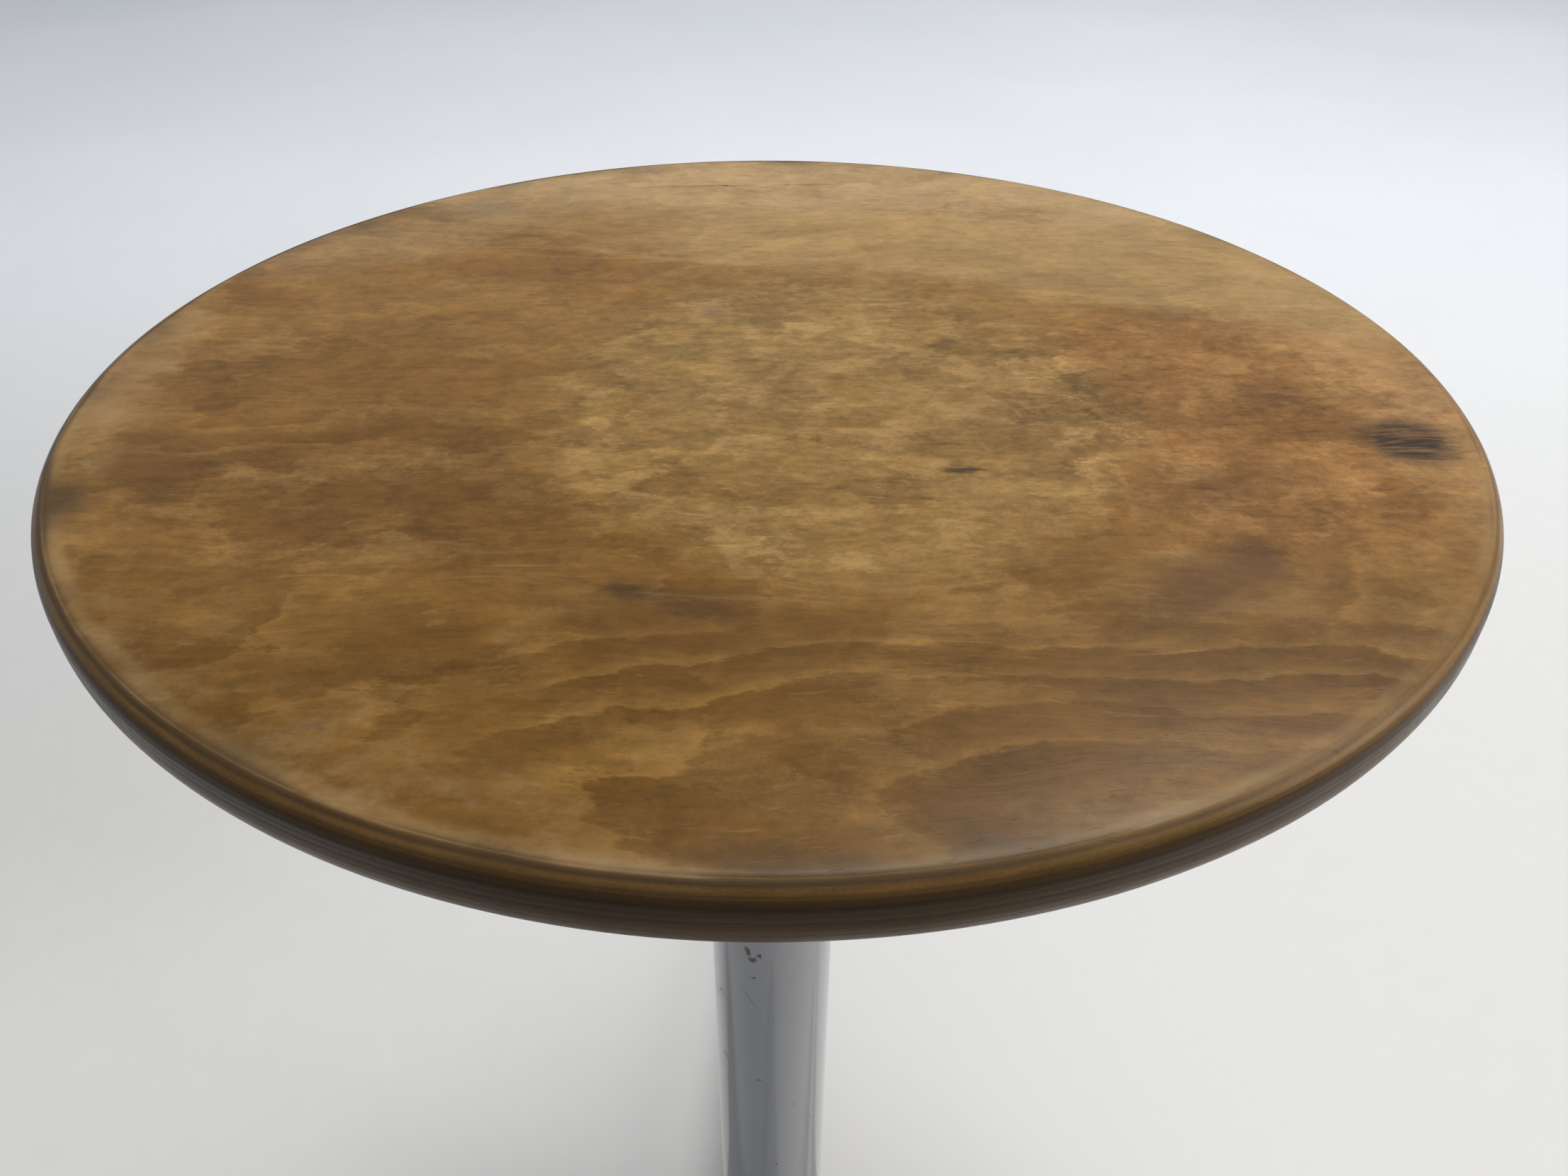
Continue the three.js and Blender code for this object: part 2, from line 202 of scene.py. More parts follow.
def block(name, size, centre):
    half = [s / 2 for s in size]
    points = [
        (centre[0] + sx * half[0], centre[1] + sy * half[1], centre[2] + sz * half[2])
        for sx in (-1, 1)
        for sy in (-1, 1)
        for sz in (-1, 1)
    ]
    faces = [(0, 1, 3, 2), (4, 6, 7, 5), (0, 4, 5, 1), (2, 3, 7, 6), (0, 2, 6, 4), (1, 5, 7, 3)]
    return make_object(name, points, faces)


def shaped(obj, tool, operation="DIFFERENCE", sharp=35):
    """obj after one Boolean with tool, which is used up."""
    step = obj.modifiers.new("shape", "BOOLEAN")
    step.operation = operation
    step.solver = "MANIFOLD"
    step.object = tool
    bpy.context.view_layer.update()
    result = bpy.data.meshes.new_from_object(obj.evaluated_get(bpy.context.evaluated_depsgraph_get()))
    obj.modifiers.clear()
    obj.data = result
    bpy.data.objects.remove(tool)
    tidy_normals(obj, sharp)
    return obj


def moved(obj, matrix):
    """The object's mesh after a transform whose translation is in millimetres."""
    matrix = matrix.copy()
    matrix.translation *= MM
    obj.data.transform(matrix)
    return obj


def turned_about_z(degrees):
    return Matrix.Rotation(math.radians(degrees), 4, "Z")


def along_x(height):
    """Takes a solid turned about Z to one that lies along +X at a height."""
    return Matrix.Translation((0, 0, height)) @ Matrix.Rotation(math.radians(90), 4, "Y")


def tube_along(name, path, radius, sides=12, loop=False):
    """A bead along a path, its radius given at each point by a function of the point's number."""
    count = len(path)
    points, rings = [], []
    side = None
    for i, p in enumerate(path):
        before = path[i - 1] if i or loop else path[i]
        after = path[(i + 1) % count] if i + 1 < count or loop else path[i]
        ahead = (Vector(after) - Vector(before)).normalized()
        side = ahead.orthogonal() if side is None else side - ahead * side.dot(ahead)
        side.normalize()
        other = ahead.cross(side)
        rings.append([len(points) + k for k in range(sides)])
        for k in range(sides):
            along_side, along_other, _ = on_circle(radius(i), k / sides, 0)
            points.append(Vector(p) + side * along_side + other * along_other)
    faces = []
    for lower, upper in zip(rings, rings[1:] + (rings[:1] if loop else [])):
        shift = 0
        if loop and upper is rings[0]:
            first = points[lower[0]]
            shift = min(range(sides), key=lambda k: (points[upper[k]] - first).length)
        for k in range(sides):
            a, b = upper[(k + shift) % sides], upper[(k + 1 + shift) % sides]
            faces.append((lower[k], lower[(k + 1) % sides], b, a))
    if not loop:
        faces += [tuple(reversed(rings[0])), tuple(rings[-1])]
    return make_object(name, points, faces, 80)


def weld(name, path, radius=1.9, loop=False):
    """A weld bead with the ripples a slow pass leaves."""
    def ripple(i):
        return radius * (0.88 + 0.16 * abs(math.sin(i * 0.9)) + 0.1 * noise.noise((i * 0.23, radius, 1)))

    return tube_along(name, path, ripple, loop=loop)


def place(obj, body, slot, *nodes):
    """Hands a finished piece to its body, its slot and the CAD nodes that it stands for."""
    obj.data.materials.clear()
    obj.data.materials.append(MATERIALS[slot])
    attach(obj, body)
    if nodes:
        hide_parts(*nodes)


def place_copy(kind, number, make, matrix, body, slot):
    """Makes one of a numbered kind of piece and puts it where its CAD node is."""
    node = f"{kind}_{number}"
    place(moved(make(f"{node}_fine"), matrix), body, slot, node)


# ------------------------------------------------------------------ material building
class Value:
    """One number that varies over a surface, and can be combined with + - * and /."""

    def __init__(self, graph, socket):
        self.graph, self.socket = graph, socket

    def __add__(self, other):
        return self.graph.math("ADD", self, other)

    def __sub__(self, other):
        return self.graph.math("SUBTRACT", self, other)

    def __rsub__(self, other):
        return self.graph.math("SUBTRACT", other, self)

    def __mul__(self, other):
        return self.graph.math("MULTIPLY", self, other)

    def __truediv__(self, other):
        return self.graph.math("DIVIDE", self, other)

    __radd__, __rmul__ = __add__, __mul__


class Graph:
    """One material's nodes. Positions are millimetres in the row frame, at rest."""

    def __init__(self, name):
        self.material = bpy.data.materials.new(name)
        self.material.use_nodes = True
        self.tree = self.material.node_tree
        self.tree.nodes.clear()
        output = self.tree.nodes.new("ShaderNodeOutputMaterial")
        self.shader = self.tree.nodes.new("ShaderNodeBsdfPrincipled")
        self.tree.links.new(self.shader.outputs[0], output.inputs["Surface"])
        where = self.tree.nodes.new("ShaderNodeTexCoord").outputs["Object"]
        self.at = self.vector("MULTIPLY", where, (1 / MM, 1 / MM, 1 / MM))
        split = self.tree.nodes.new("ShaderNodeSeparateXYZ")
        self.put(split.inputs[0], self.at)
        self.x, self.y, self.z = (Value(self, s) for s in split.outputs)

    def put(self, socket, value):
        if isinstance(value, Value):
            value = value.socket
        if isinstance(value, bpy.types.NodeSocket):
            self.tree.links.new(value, socket)
        elif isinstance(value, (tuple, list)) and len(value) == 3 and socket.type == "RGBA":
            socket.default_value = (*value, 1)
        else:
            socket.default_value = value

    def math(self, operation, a, b=0.0):
        node = self.tree.nodes.new("ShaderNodeMath")
        node.operation = operation
        for socket, value in zip(node.inputs, (a, b)):
            self.put(socket, value)
        return Value(self, node.outputs[0])

    def vector(self, operation, a, b=(0, 0, 0)):
        node = self.tree.nodes.new("ShaderNodeVectorMath")
        node.operation = operation
        self.put(node.inputs[0], a)
        self.put(node.inputs[1], b)
        out = node.outputs["Value" if operation == "LENGTH" else "Vector"]
        return Value(self, out) if operation == "LENGTH" else out

    def join(self, x, y, z):
        node = self.tree.nodes.new("ShaderNodeCombineXYZ")
        for socket, value in zip(node.inputs, (x, y, z)):
            self.put(socket, value)
        return node.outputs[0]

    def noise(self, at, scale, detail=3.0, roughness=0.55, shift=0.0):
        """Smooth noise from about 0.2 to 0.8. scale is waves per millimetre, or one for each axis."""
        scale = scale if isinstance(scale, tuple) else (scale, scale, scale)
        node = self.tree.nodes.new("ShaderNodeTexNoise")
        scaled = self.vector("MULTIPLY", at, scale)
        self.put(node.inputs["Vector"], self.vector("ADD", scaled, (shift, shift * 0.7, shift * 1.3)))
        node.inputs["Scale"].default_value = 1.0
        node.inputs["Detail"].default_value = detail
        node.inputs["Roughness"].default_value = roughness
        return Value(self, node.outputs[0])

    def swing(self, *choices):
        """The same noise about 0."""
        return self.noise(*choices) - 0.5

    def step(self, value, low, high):
        """0 below low, 1 above high and smooth between. Swap them for a fall."""
        node = self.tree.nodes.new("ShaderNodeMapRange")
        node.interpolation_type = "SMOOTHSTEP"
        rising = low < high
        self.put(node.inputs["Value"], value)
        node.inputs["From Min"].default_value = low if rising else high
        node.inputs["From Max"].default_value = high if rising else low
        node.inputs["To Min"].default_value = 0.0 if rising else 1.0
        node.inputs["To Max"].default_value = 1.0 if rising else 0.0
        return Value(self, node.outputs["Result"])

    def ramp(self, value, *stops):
        """Colours along a value, each stop being (place, colour)."""
        node = self.tree.nodes.new("ShaderNodeValToRGB")
        self.put(node.inputs[0], value)
        marks = node.color_ramp.elements
        while len(marks) < len(stops):
            marks.new(0.5)
        for mark, (spot, colour) in zip(marks, stops):
            mark.position, mark.color = spot, (*colour, 1)
        return node.outputs[0]

    def mix(self, share, a, b, blend="MIX"):
        node = self.tree.nodes.new("ShaderNodeMix")
        node.data_type, node.blend_type = "RGBA", blend
        self.put(node.inputs[0], share)
        self.put(node.inputs[6], a)
        self.put(node.inputs[7], b)
        return node.outputs[2]

    def scaled(self, colour, factor):
        """A colour made lighter or darker by a value near 1."""
        return self.mix(1.0, colour, self.join(factor, factor, factor), "MULTIPLY")

    def blot(self, at, centre, size, turn=0.0, soft=0.35):
        """1 inside an ellipse of the plane, fading to 0 across its edge."""
        return self.step(self.oval(at, centre, size, turn), 1 + soft, 1 - soft)

    def oval(self, at, centre, size, turn=0.0):
        """Distance from an ellipse's centre, which is 1 on the ellipse."""
        node = self.tree.nodes.new("ShaderNodeMapping")
        node.vector_type = "TEXTURE"
        self.put(node.inputs["Vector"], at)
        node.inputs["Location"].default_value = (*centre, 0)
        node.inputs["Rotation"].default_value = (0, 0, math.radians(turn))
        node.inputs["Scale"].default_value = (*size, 1)
        return self.vector("LENGTH", node.outputs[0])

    def relief(self, height, depth, normal=None):
        """A normal from a height that runs from 0 to 1 over a depth in millimetres."""
        node = self.tree.nodes.new("ShaderNodeBump")
        node.inputs["Strength"].default_value = 1.0
        node.inputs["Distance"].default_value = depth * MM
        self.put(node.inputs["Height"], height)
        if normal is not None:
            self.put(node.inputs["Normal"], normal)
        return node.outputs[0]

    def finish(self, colour, roughness, normal=None, **uniform):
        """Links the shader. uniform gives the sockets that are the same all over."""
        self.put(self.shader.inputs["Base Color"], colour)
        self.put(self.shader.inputs["Roughness"], roughness)
        if normal is not None:
            self.put(self.shader.inputs["Normal"], normal)
        for name, value in uniform.items():
            self.shader.inputs[name.replace("_", " ")].default_value = value
        return self.material


# Depths below the seat's top face of the glue lines between plies.
GLUE_LINES = (0.75, 2.25, 3.9, 5.4, 6.9, 8.4, 9.9, 11.4, 12.9, 14.4, 15.9, 17.2)

# Stains and marks on the seat: centre, half-lengths, turn, softness, strength, colour.
CHARCOAL = (0.02, 0.013, 0.008)
SOOT = (0.035, 0.02, 0.01)
BROWN = (0.07, 0.032, 0.01)
GREY = (0.12, 0.095, 0.085)
STAINS = (
    ((-20, -108), (30, 12), -20, 0.8, 0.38, BROWN),
    ((-28, -101), (5, 2.1), -12, 0.6, 0.72, SOOT),
    ((-15, -106), (7.5, 3.0), -18, 0.8, 0.5, SOOT),
    ((-38, -97), (4, 1.2), -15, 0.6, 0.35, BROWN),
    ((-77, -139), (1.5, 1.1), 0, 0.5, 0.85, BROWN),
    ((43, -55), (4.2, 1.2), 8, 0.5, 0.85, SOOT),
    ((24, -60), (5, 1.8), 8, 0.7, 0.35, BROWN),
    ((-16, 30), (2.6, 6), 25, 0.7, 0.5, (0.1, 0.066, 0.04)),
    ((125, -18), (9, 6.5), 20, 0.3, 0.36, BROWN),
    ((89, -97), (17, 8), 26, 0.6, 0.62, BROWN),
    ((99, -88), (5, 7), -15, 0.7, 0.5, BROWN),
    ((98, -33), (5, 4), 0, 0.6, 0.25, BROWN),
    ((-141, -50), (15, 10), 0, 0.5, 0.32, BROWN),
    ((-160, -8), (12, 14), 0, 0.25, 0.18, BROWN),
    ((98, -62), (16, 9), 10, 0.7, 0.3, BROWN),
    ((-26, 141.2), (17, 0.8), 4, 0.6, 0.36, BROWN),
    ((-16, 141.6), (1.8, 0.7), 0, 0.4, 0.8, CHARCOAL),
    ((12, 143), (8, 0.8), 2, 0.5, 0.35, BROWN),
    ((60, 121), (1.2, 3), 0, 0.6, 0.35, BROWN),
    ((-97, 118), (9, 6), 0, 0.7, 0.22, GREY),
    ((95, 52), (13, 8), -20, 0.7, 0.22, BROWN),
    ((112, 30), (8, 6), 0, 0.5, 0.26, BROWN),
    ((50, -28), (12, 16), 0, 0.8, 0.16, BROWN),
)


def plywood():
    """Worn varnished beech-faced plywood: flowing figure and flecks on the faces, plies on the rim."""
    g = Graph("worn_plywood")
    plane = g.join(g.x, g.y, 0.0)
    depth = SEAT_TOP - g.z
    radius = g.vector("LENGTH", plane)

    # the grain wanders a little, and stains and worn patches have ragged edges
    drift = g.swing(plane, (0.011, 0.02, 1), 2)
    grain_at = g.join(g.x, g.y + drift * 26.0, g.z * 0.2)
    ragged_x = g.swing(plane, (0.03, 0.045, 1), 8, 0.74, 3.1) * 52.0
    ragged_y = g.swing(plane, (0.03, 0.06, 1), 8, 0.74, 8.4) * 40.0
    patch_at = g.join(g.x + ragged_x, g.y + ragged_y, 0.0)
    fine_x = g.swing(plane, (0.25, 0.6, 1), 3, 0.6, 1.7) * 9.0
    fine_y = g.swing(plane, (0.25, 0.6, 1), 3, 0.6, 5.2) * 3.0
    mark_at = g.join(g.x + fine_x, g.y + fine_y, 0.0)

    def lay(share, strength, tint):
        """Tints part of the surface, and gives back where that part is."""
        nonlocal colour
        colour = g.mix(share * strength, colour, tint)
        return share

    def patch(centre, size, turn, soft, strength, tint):
        return lay(g.blot(patch_at, centre, size, turn, soft), strength, tint)

    # where the varnish is thick and orange or worn thin and grey; the far side is painted paler as painted
    # sheen, and the right edge as painted light
    base_tone = g.step(g.noise(patch_at, (0.014, 0.02, 1), 3), 0.4, 0.62)
    colour = g.mix(base_tone, (0.155, 0.073, 0.014), (0.205, 0.106, 0.028))
    near = lay(g.step(g.y + ragged_y * 0.8, -80, -122), 1.0, (0.102, 0.047, 0.0075))
    patch((-98, -38), (64, 70), 20, 0.3, 0.8, (0.128, 0.06, 0.0128))
    patch((-80, -62), (52, 28), 0, 0.5, 0.7, (0.095, 0.044, 0.0095))
    reddish = patch((112, -30), (52, 58), 0, 0.3, 0.8, (0.182, 0.078, 0.018))
    # painted light: the right edge is painted paler, on the side the light comes from
    lay(g.step(g.x + ragged_x * 0.6 + g.y * 0.12, 128, 158), 0.7, (0.33, 0.183, 0.072))
    right_of = g.math("MAXIMUM", g.x - 20.0, 0.0)
    left_of = g.math("MAXIMUM", g.x * -1.0 - 30.0, 0.0)
    shore = g.y + ragged_y * 1.1 + right_of * 0.36 - left_of * 0.6
    # painted sheen: these two layers paint the far side paler, palest near the far edge
    painted_far_sheen = lay(g.step(shore, 58, 78), 0.92, (0.3, 0.19, 0.073))
    lay(g.step(g.y + g.x * 0.1 + ragged_y, 96, 140), 0.7, (0.37, 0.248, 0.122))
    patch((-108, 98), (64, 20), 32, 0.5, 0.6, (0.235, 0.15, 0.066))
    patch((-62, 84), (30, 30), 0, 0.6, 0.6, (0.17, 0.083, 0.019))
    patch((-40, 62), (56, 10), -14, 0.5, 0.6, (0.165, 0.077, 0.0155))
    worn = patch((15, -20), (70, 74), 0, 0.16, 0.8, (0.185, 0.108, 0.031))
    patch((2, 8), (42, 44), 0, 0.5, 0.45, (0.25, 0.156, 0.055))

    # islands of varnish left in the worn parts, and thin spots in the rest
    islands = g.step(g.noise(patch_at, (0.034, 0.05, 1), 7, 0.7, 27.0), 0.47, 0.6)
    lay(islands, 0.12 + worn * 0.5 + painted_far_sheen * 0.18, (0.15, 0.076, 0.018))
    thin = g.step(g.noise(patch_at, (0.028, 0.042, 1), 7, 0.72, 37.0), 0.5, 0.66)
    lay(thin, 0.34 - near * 0.1, (0.27, 0.162, 0.055))

    # flowing figure: ragged steps, light on one side and shaded on the other
    wander = g.swing(plane, (0.011, 0.0135, 1), 3, 0.5, 4.4) * 9.0
    ragged = g.swing(grain_at, (0.07, 0.2, 1), 5, 0.7, 6.1) * 1.1
    figure = g.math("FRACT", g.y * -0.024 + g.x * 0.004 + wander + ragged)
    nest_wander = g.swing(grain_at, (0.02, 0.03, 1), 3, 0.55, 2.2) * 2.2
    nest = g.math("FRACT", g.oval(plane, (90, -162), (4.4, 1), -2) / 8.5 + nest_wander + ragged * 0.8)
    in_nest = g.step(g.y + drift * 30.0, -104, -122) * g.step(g.x + drift * 60.0, -85, -35)

    def lit_side(steps):
        return g.math("POWER", 1 - steps, 3.0) * g.step(steps, 0.0, 0.1)

    def shaded_side(steps):
        return g.math("POWER", steps, 2.2) * g.step(steps, 1.0, 0.9)

    clear_here = g.step(g.noise(plane, (0.02, 0.028, 1), 3, 0.5, 57.0), 0.36, 0.62)
    clarity = 0.12 + clear_here * 0.26 + near * 0.1 + worn * 0.06
    plain_share = clarity * (1 - in_nest)
    nest_share = in_nest * (0.14 + clear_here * 0.34)
    lit = lit_side(figure) * plain_share + lit_side(nest) * nest_share
    shaded = shaded_side(figure) * plain_share + shaded_side(nest) * nest_share
    lay(lit, 0.8, (0.33, 0.18, 0.05))
    lay(shaded, 0.62, (0.085, 0.038, 0.008))

    # fibres, soft streaks, clumps, ray flecks and pores
    fibre = g.swing(grain_at, (0.05, 0.9, 0.6), 4, 0.65, 1.1)
    streak = g.swing(grain_at, (0.012, 0.1, 0.2), 3, 0.5, 2.3)
    cloud = g.swing(patch_at, (0.032, 0.038, 1), 6, 0.7, 7.7)
    mottle = g.swing(plane, (0.2, 0.3, 1), 5, 0.75, 9.2)
    clumps = g.swing(patch_at, (0.08, 0.1, 1), 5, 0.68, 17.3)
    rough_share = worn * 0.3 + reddish * 0.5
    patchy = g.step(clumps, -0.03, 0.12) * (worn * 0.34 + reddish * 0.2)
    lay(patchy, 1.0, (0.29, 0.18, 0.072))
    calm = painted_far_sheen * 0.35
    shade = (1.0 + fibre * 0.45 + streak * 0.25 + clumps * (0.95 + rough_share - calm)
             + cloud * (0.65 + rough_share - calm) + mottle * (1.05 + rough_share * 0.8 - near * 0.35 - calm))
    colour = g.scaled(colour, shade)
    flecks = g.step(g.noise(grain_at, (0.16, 1.15, 1), 2, 0.5, 12.0), 0.655, 0.74)
    lay(flecks, 0.3, (0.085, 0.041, 0.013))
    pale_flecks = g.step(g.noise(grain_at, (0.11, 0.8, 1), 3, 0.55, 15.0), 0.635, 0.73)
    lay(pale_flecks, 0.1 + worn * 0.2 + painted_far_sheen * 0.12, (0.38, 0.25, 0.11))

    # long pale streaks where the veneer is rubbed along the grain, and one curved pale line
    rubbed = g.step(g.noise(grain_at, (0.012, 0.3, 1), 3, 0.6, 21.0), 0.54, 0.7)
    rubbed_here = g.blot(patch_at, (-8, 76), (64, 9), -2, 0.6) + g.blot(patch_at, (-8, -96), (60, 9), -4, 0.6)
    lay(rubbed * rubbed_here, 0.42, (0.34, 0.22, 0.098))
    sweep = g.math("ABSOLUTE", g.oval(mark_at, (-8, 150), (100, 80)) + clumps * 0.12 - 1.0)
    sweep_here = g.blot(patch_at, (-6, 76), (62, 14), 0, 0.5) * g.step(streak, -0.12, 0.1)
    lay(g.step(sweep, 0.05, 0.004) * sweep_here, 0.4, (0.36, 0.24, 0.11))

    # stains
    streaky = g.step(g.noise(grain_at, (0.05, 0.8, 1), 4, 0.65, 31.0), 0.38, 0.56)
    smudge = g.blot(mark_at, (150.5, -41.5), (10.5, 10), 0, 0.5)
    lay(smudge, streaky * 0.4 + 0.56, CHARCOAL)
    for centre, size, turn, soft, strength, stain in STAINS:
        lay(g.blot(mark_at, centre, size, turn, soft), strength, stain)
    ring = g.math("ABSOLUTE", g.oval(mark_at, (-60, 70), (6, 9.5), -20) - 1.0)
    lay(g.step(ring, 0.28, 0.05), 0.22, BROWN)

    # the rim is scuffed a little paler just inside its edge, most of all towards the front and left
    round_front = g.step(g.y + g.math("ABSOLUTE", g.x) * 0.12, 60, -30)
    tide = radius + g.swing(plane, (0.03, 0.03, 1), 6, 0.7, 41.0) * 46.0
    scuff_cloud = g.step(g.noise(plane, (0.07, 0.12, 1), 6, 0.72, 44.0), 0.4, 0.66)
    scuffed = g.step(tide, 156, 174) * scuff_cloud
    leftward = g.step(g.x + ragged_x * 0.5, 20, -70)
    lay(scuffed, 0.08 + round_front * leftward * 0.42, (0.255, 0.168, 0.075))
    pale_left = g.blot(patch_at, (-167, -8), (13, 52), 4, 0.3)
    lay(pale_left, 0.22 + scuff_cloud * 0.34, (0.28, 0.172, 0.074))
    edge_wobble = g.swing(plane, (0.06, 0.06, 1), 3, 0.6, 51.0) * 3.0
    rubbed_edge = g.step(g.noise(plane, (0.05, 0.05, 1), 4, 0.65, 54.0), 0.35, 0.62)
    arris_from = radius + edge_wobble * 1.4 + round_front * leftward * 1.6
    arris = g.step(arris_from, 168.6, 171.2) * (0.12 + rubbed_edge * 0.28)
    lay(arris, 1.0, (0.27, 0.178, 0.08))

    # rim: bands of ply, rather soft under the varnish, browner above, and lighter and greyer below as a
    # painted reflection of the floor
    wavy = depth + g.swing(g.at, (0.02, 0.02, 0.25), 4, 0.55, 61.0) * 0.8
    rim = g.ramp(
        wavy / BOARD_THICK,
        (0.036, (0.115, 0.064, 0.022)), (0.056, (0.1, 0.055, 0.018)), (0.078, (0.115, 0.062, 0.019)),
        (0.11, (0.1, 0.052, 0.015)), (0.15, (0.045, 0.024, 0.0075)), (0.22, (0.032, 0.017, 0.005)),
        (0.36, (0.042, 0.022, 0.0065)), (0.52, (0.058, 0.03, 0.01)), (0.7, (0.085, 0.046, 0.019)),
        (0.95, (0.08, 0.045, 0.022)))
    # painted light: the rim is painted lighter towards the right, the side the light comes from
    rim = g.scaled(rim, 1.0 + g.step(g.x, 30, 150) * 0.75)
    lengthwise = g.math("ABSOLUTE", g.y) / radius
    ply = g.step(wavy, GLUE_LINES[0] - 0.1, GLUE_LINES[0] + 0.1)
    for line in GLUE_LINES[1:]:
        ply = ply + g.step(wavy, line - 0.1, line + 0.1)
    odd = g.math("PINGPONG", ply, 1.0)
    end_grain = odd * lengthwise + (1 - odd) * (1 - lengthwise)
    long_fibre = g.swing(g.at, (0.05, 0.05, 1.6), 4, 0.65, 63.0)
    dots = g.swing(g.at, (1.2, 1.2, 1.6), 3, 0.6, 66.0)
    handled = g.swing(g.at, (0.03, 0.03, 0.12), 5, 0.65, 68.0)
    rim = g.scaled(rim, 1.1 - end_grain * 0.2 + long_fibre * 0.9 + dots * 0.5 + handled * 0.9)
    nearest = g.math("ABSOLUTE", wavy - GLUE_LINES[0])
    for line in GLUE_LINES[1:]:
        nearest = g.math("MINIMUM", nearest, g.math("ABSOLUTE", wavy - line))
    glue = g.step(nearest, 0.4, 0.05)
    rim = g.mix(glue * g.step(depth, 12, 2) * 0.18, rim, (0.02, 0.011, 0.005))
    top_veneer = g.step(wavy, 0.75, 0.3)
    colour = g.mix(top_veneer, rim, colour)
    dirt_line = g.step(wavy, 0.15, 0.5) * g.step(wavy, 1.3, 0.8) * (0.15 + g.step(g.x, 90, 10) * 0.5)
    lay(dirt_line, 1.0, (0.03, 0.018, 0.008))

    # the underside is plain unvarnished veneer
    under_fibre = g.swing(grain_at, (0.02, 0.9, 0.5), 4, 0.6, 81.0)
    under_cloud = g.swing(plane, (0.02, 0.03, 1), 4, 0.6, 83.0)
    under = g.ramp(
        0.5 + under_fibre * 0.9 + under_cloud * 0.6, (0.2, (0.2, 0.125, 0.06)), (0.8, (0.46, 0.3, 0.155)))
    colour = g.mix(g.step(depth, 17.3, 17.7), colour, under)

    bare = worn * 0.5 + scuffed * 0.4 + g.step(depth, 17.0, 17.6)
    roughness = 0.3 + bare * 0.12 + cloud * 0.2 + g.math("ABSOLUTE", fibre) * 0.2 + flecks * 0.1
    normal = g.relief(fibre * 0.6 + flecks * -0.5 + mottle * 0.3, 0.05)
    normal = g.relief(glue * (1 - top_veneer) * -1.0, 0.02, normal)
    return g.finish(colour, roughness, normal, Specular_IOR_Level=0.13)


# Chips in the column's enamel: centre across and up, half-lengths, turn.
CHIPS = (
    ((-8.6, 315), (1.0, 2.6), 10),
    ((-7.0, 311), (1.5, 1.1), 40),
    ((-4.5, 314), (0.9, 1.1), 0),
    ((-6.7, 301), (1.1, 0.4), 10),
    ((-19, 280), (0.6, 1.0), 0),
    ((-18.5, 239), (0.5, 0.8), 0),
    ((-4.9, 235), (0.7, 0.5), 0),
    ((8.8, 216), (0.5, 0.7), 0),
    ((1.8, 172), (0.6, 0.5), 0),
)


def enamel():
    """Light grey gloss enamel with chips down to dark primer, hair scratches and scuffs."""
    g = Graph("grey_gloss_enamel")
    cloud = g.swing(g.at, (0.02, 0.02, 0.012), 3, 0.5, 1.0)
    colour = g.scaled((0.285, 0.29, 0.297), 1.0 + cloud * 0.22)
    rub_at = g.noise(g.at, (0.09, 0.09, 0.05), 4, 0.6, 5.0)
    rubs = g.step(rub_at, 0.6, 0.72)
    colour = g.mix(rubs * 0.2, colour, (0.2, 0.2, 0.2))
    # hair scratches run in two leaning directions
    scratches = 0.0
    for lean, seed in ((0.5, 11.0), (-0.9, 17.0)):
        slanted = g.z * 0.07 + (g.x + g.y * 0.6) * lean
        wobble = g.noise(g.at, 0.05, 2, 0.5, seed) * 3.0
        line = g.math("ABSOLUTE", g.math("FRACT", slanted * 0.11 + wobble) - 0.5)
        here = g.step(g.noise(g.at, (0.06, 0.06, 0.04), 2, 0.5, seed + 2), 0.66, 0.7)
        scratches = g.step(line, 0.012, 0.003) * here + scratches
    colour = g.mix(scratches * 0.45, colour, (0.14, 0.14, 0.15))
    chip_at = g.noise(g.at, (0.28, 0.28, 0.2), 5, 0.7, 23.0)
    chip_zone = g.step(g.noise(g.at, (0.03, 0.03, 0.02), 2, 0.5, 27.0), 0.5, 0.66)
    chips = g.step(chip_at, 0.725, 0.74) * chip_zone
    colour = g.mix(chips, colour, (0.035, 0.033, 0.032))
    # chips and a scratch on the side of the column that faces the front, placed across and up
    front = g.join(g.x, g.z, 0.0)
    bent = g.join(
        g.x + g.swing(g.at, 0.5, 3, 0.6, 51.0) * 4.0,
        g.z + g.swing(g.at, 0.5, 3, 0.6, 54.0) * 4.0, 0.0)
    facing = g.step(g.y, 0, -8) * g.step(g.math("ABSOLUTE", g.x), 24, 22)
    placed = 0.0
    for centre, size, turn in CHIPS:
        placed = g.math("MAXIMUM", g.blot(bent, centre, size, turn, 0.25), placed)
    placed = placed * facing
    colour = g.mix(placed * 0.9, colour, (0.04, 0.038, 0.036))
    hair = g.blot(front, (-8, 286.7), (5.4, 0.35), -60, 0.4) * facing
    colour = g.mix(hair * 0.5, colour, (0.1, 0.1, 0.1))
    chips = g.math("MAXIMUM", chips, placed)
    dust = g.step(g.noise(g.at, 0.5, 2, 0.5, 33.0), 0.7, 0.8)
    colour = g.mix(dust * 0.12, colour, (0.12, 0.11, 0.1))
    roughness = 0.16 + rubs * 0.12 + chips * 0.5 + scratches * 0.2 + cloud * 0.08
    peel = g.noise(g.at, 0.35, 2, 0.5, 41.0)
    normal = g.relief(peel, 0.03)
    normal = g.relief(chips * -1.0 + scratches * -0.3, 0.12, normal)
    return g.finish(colour, roughness, normal, Coat_Weight=0.6, Coat_Roughness=0.06, Specular_IOR_Level=0.5)


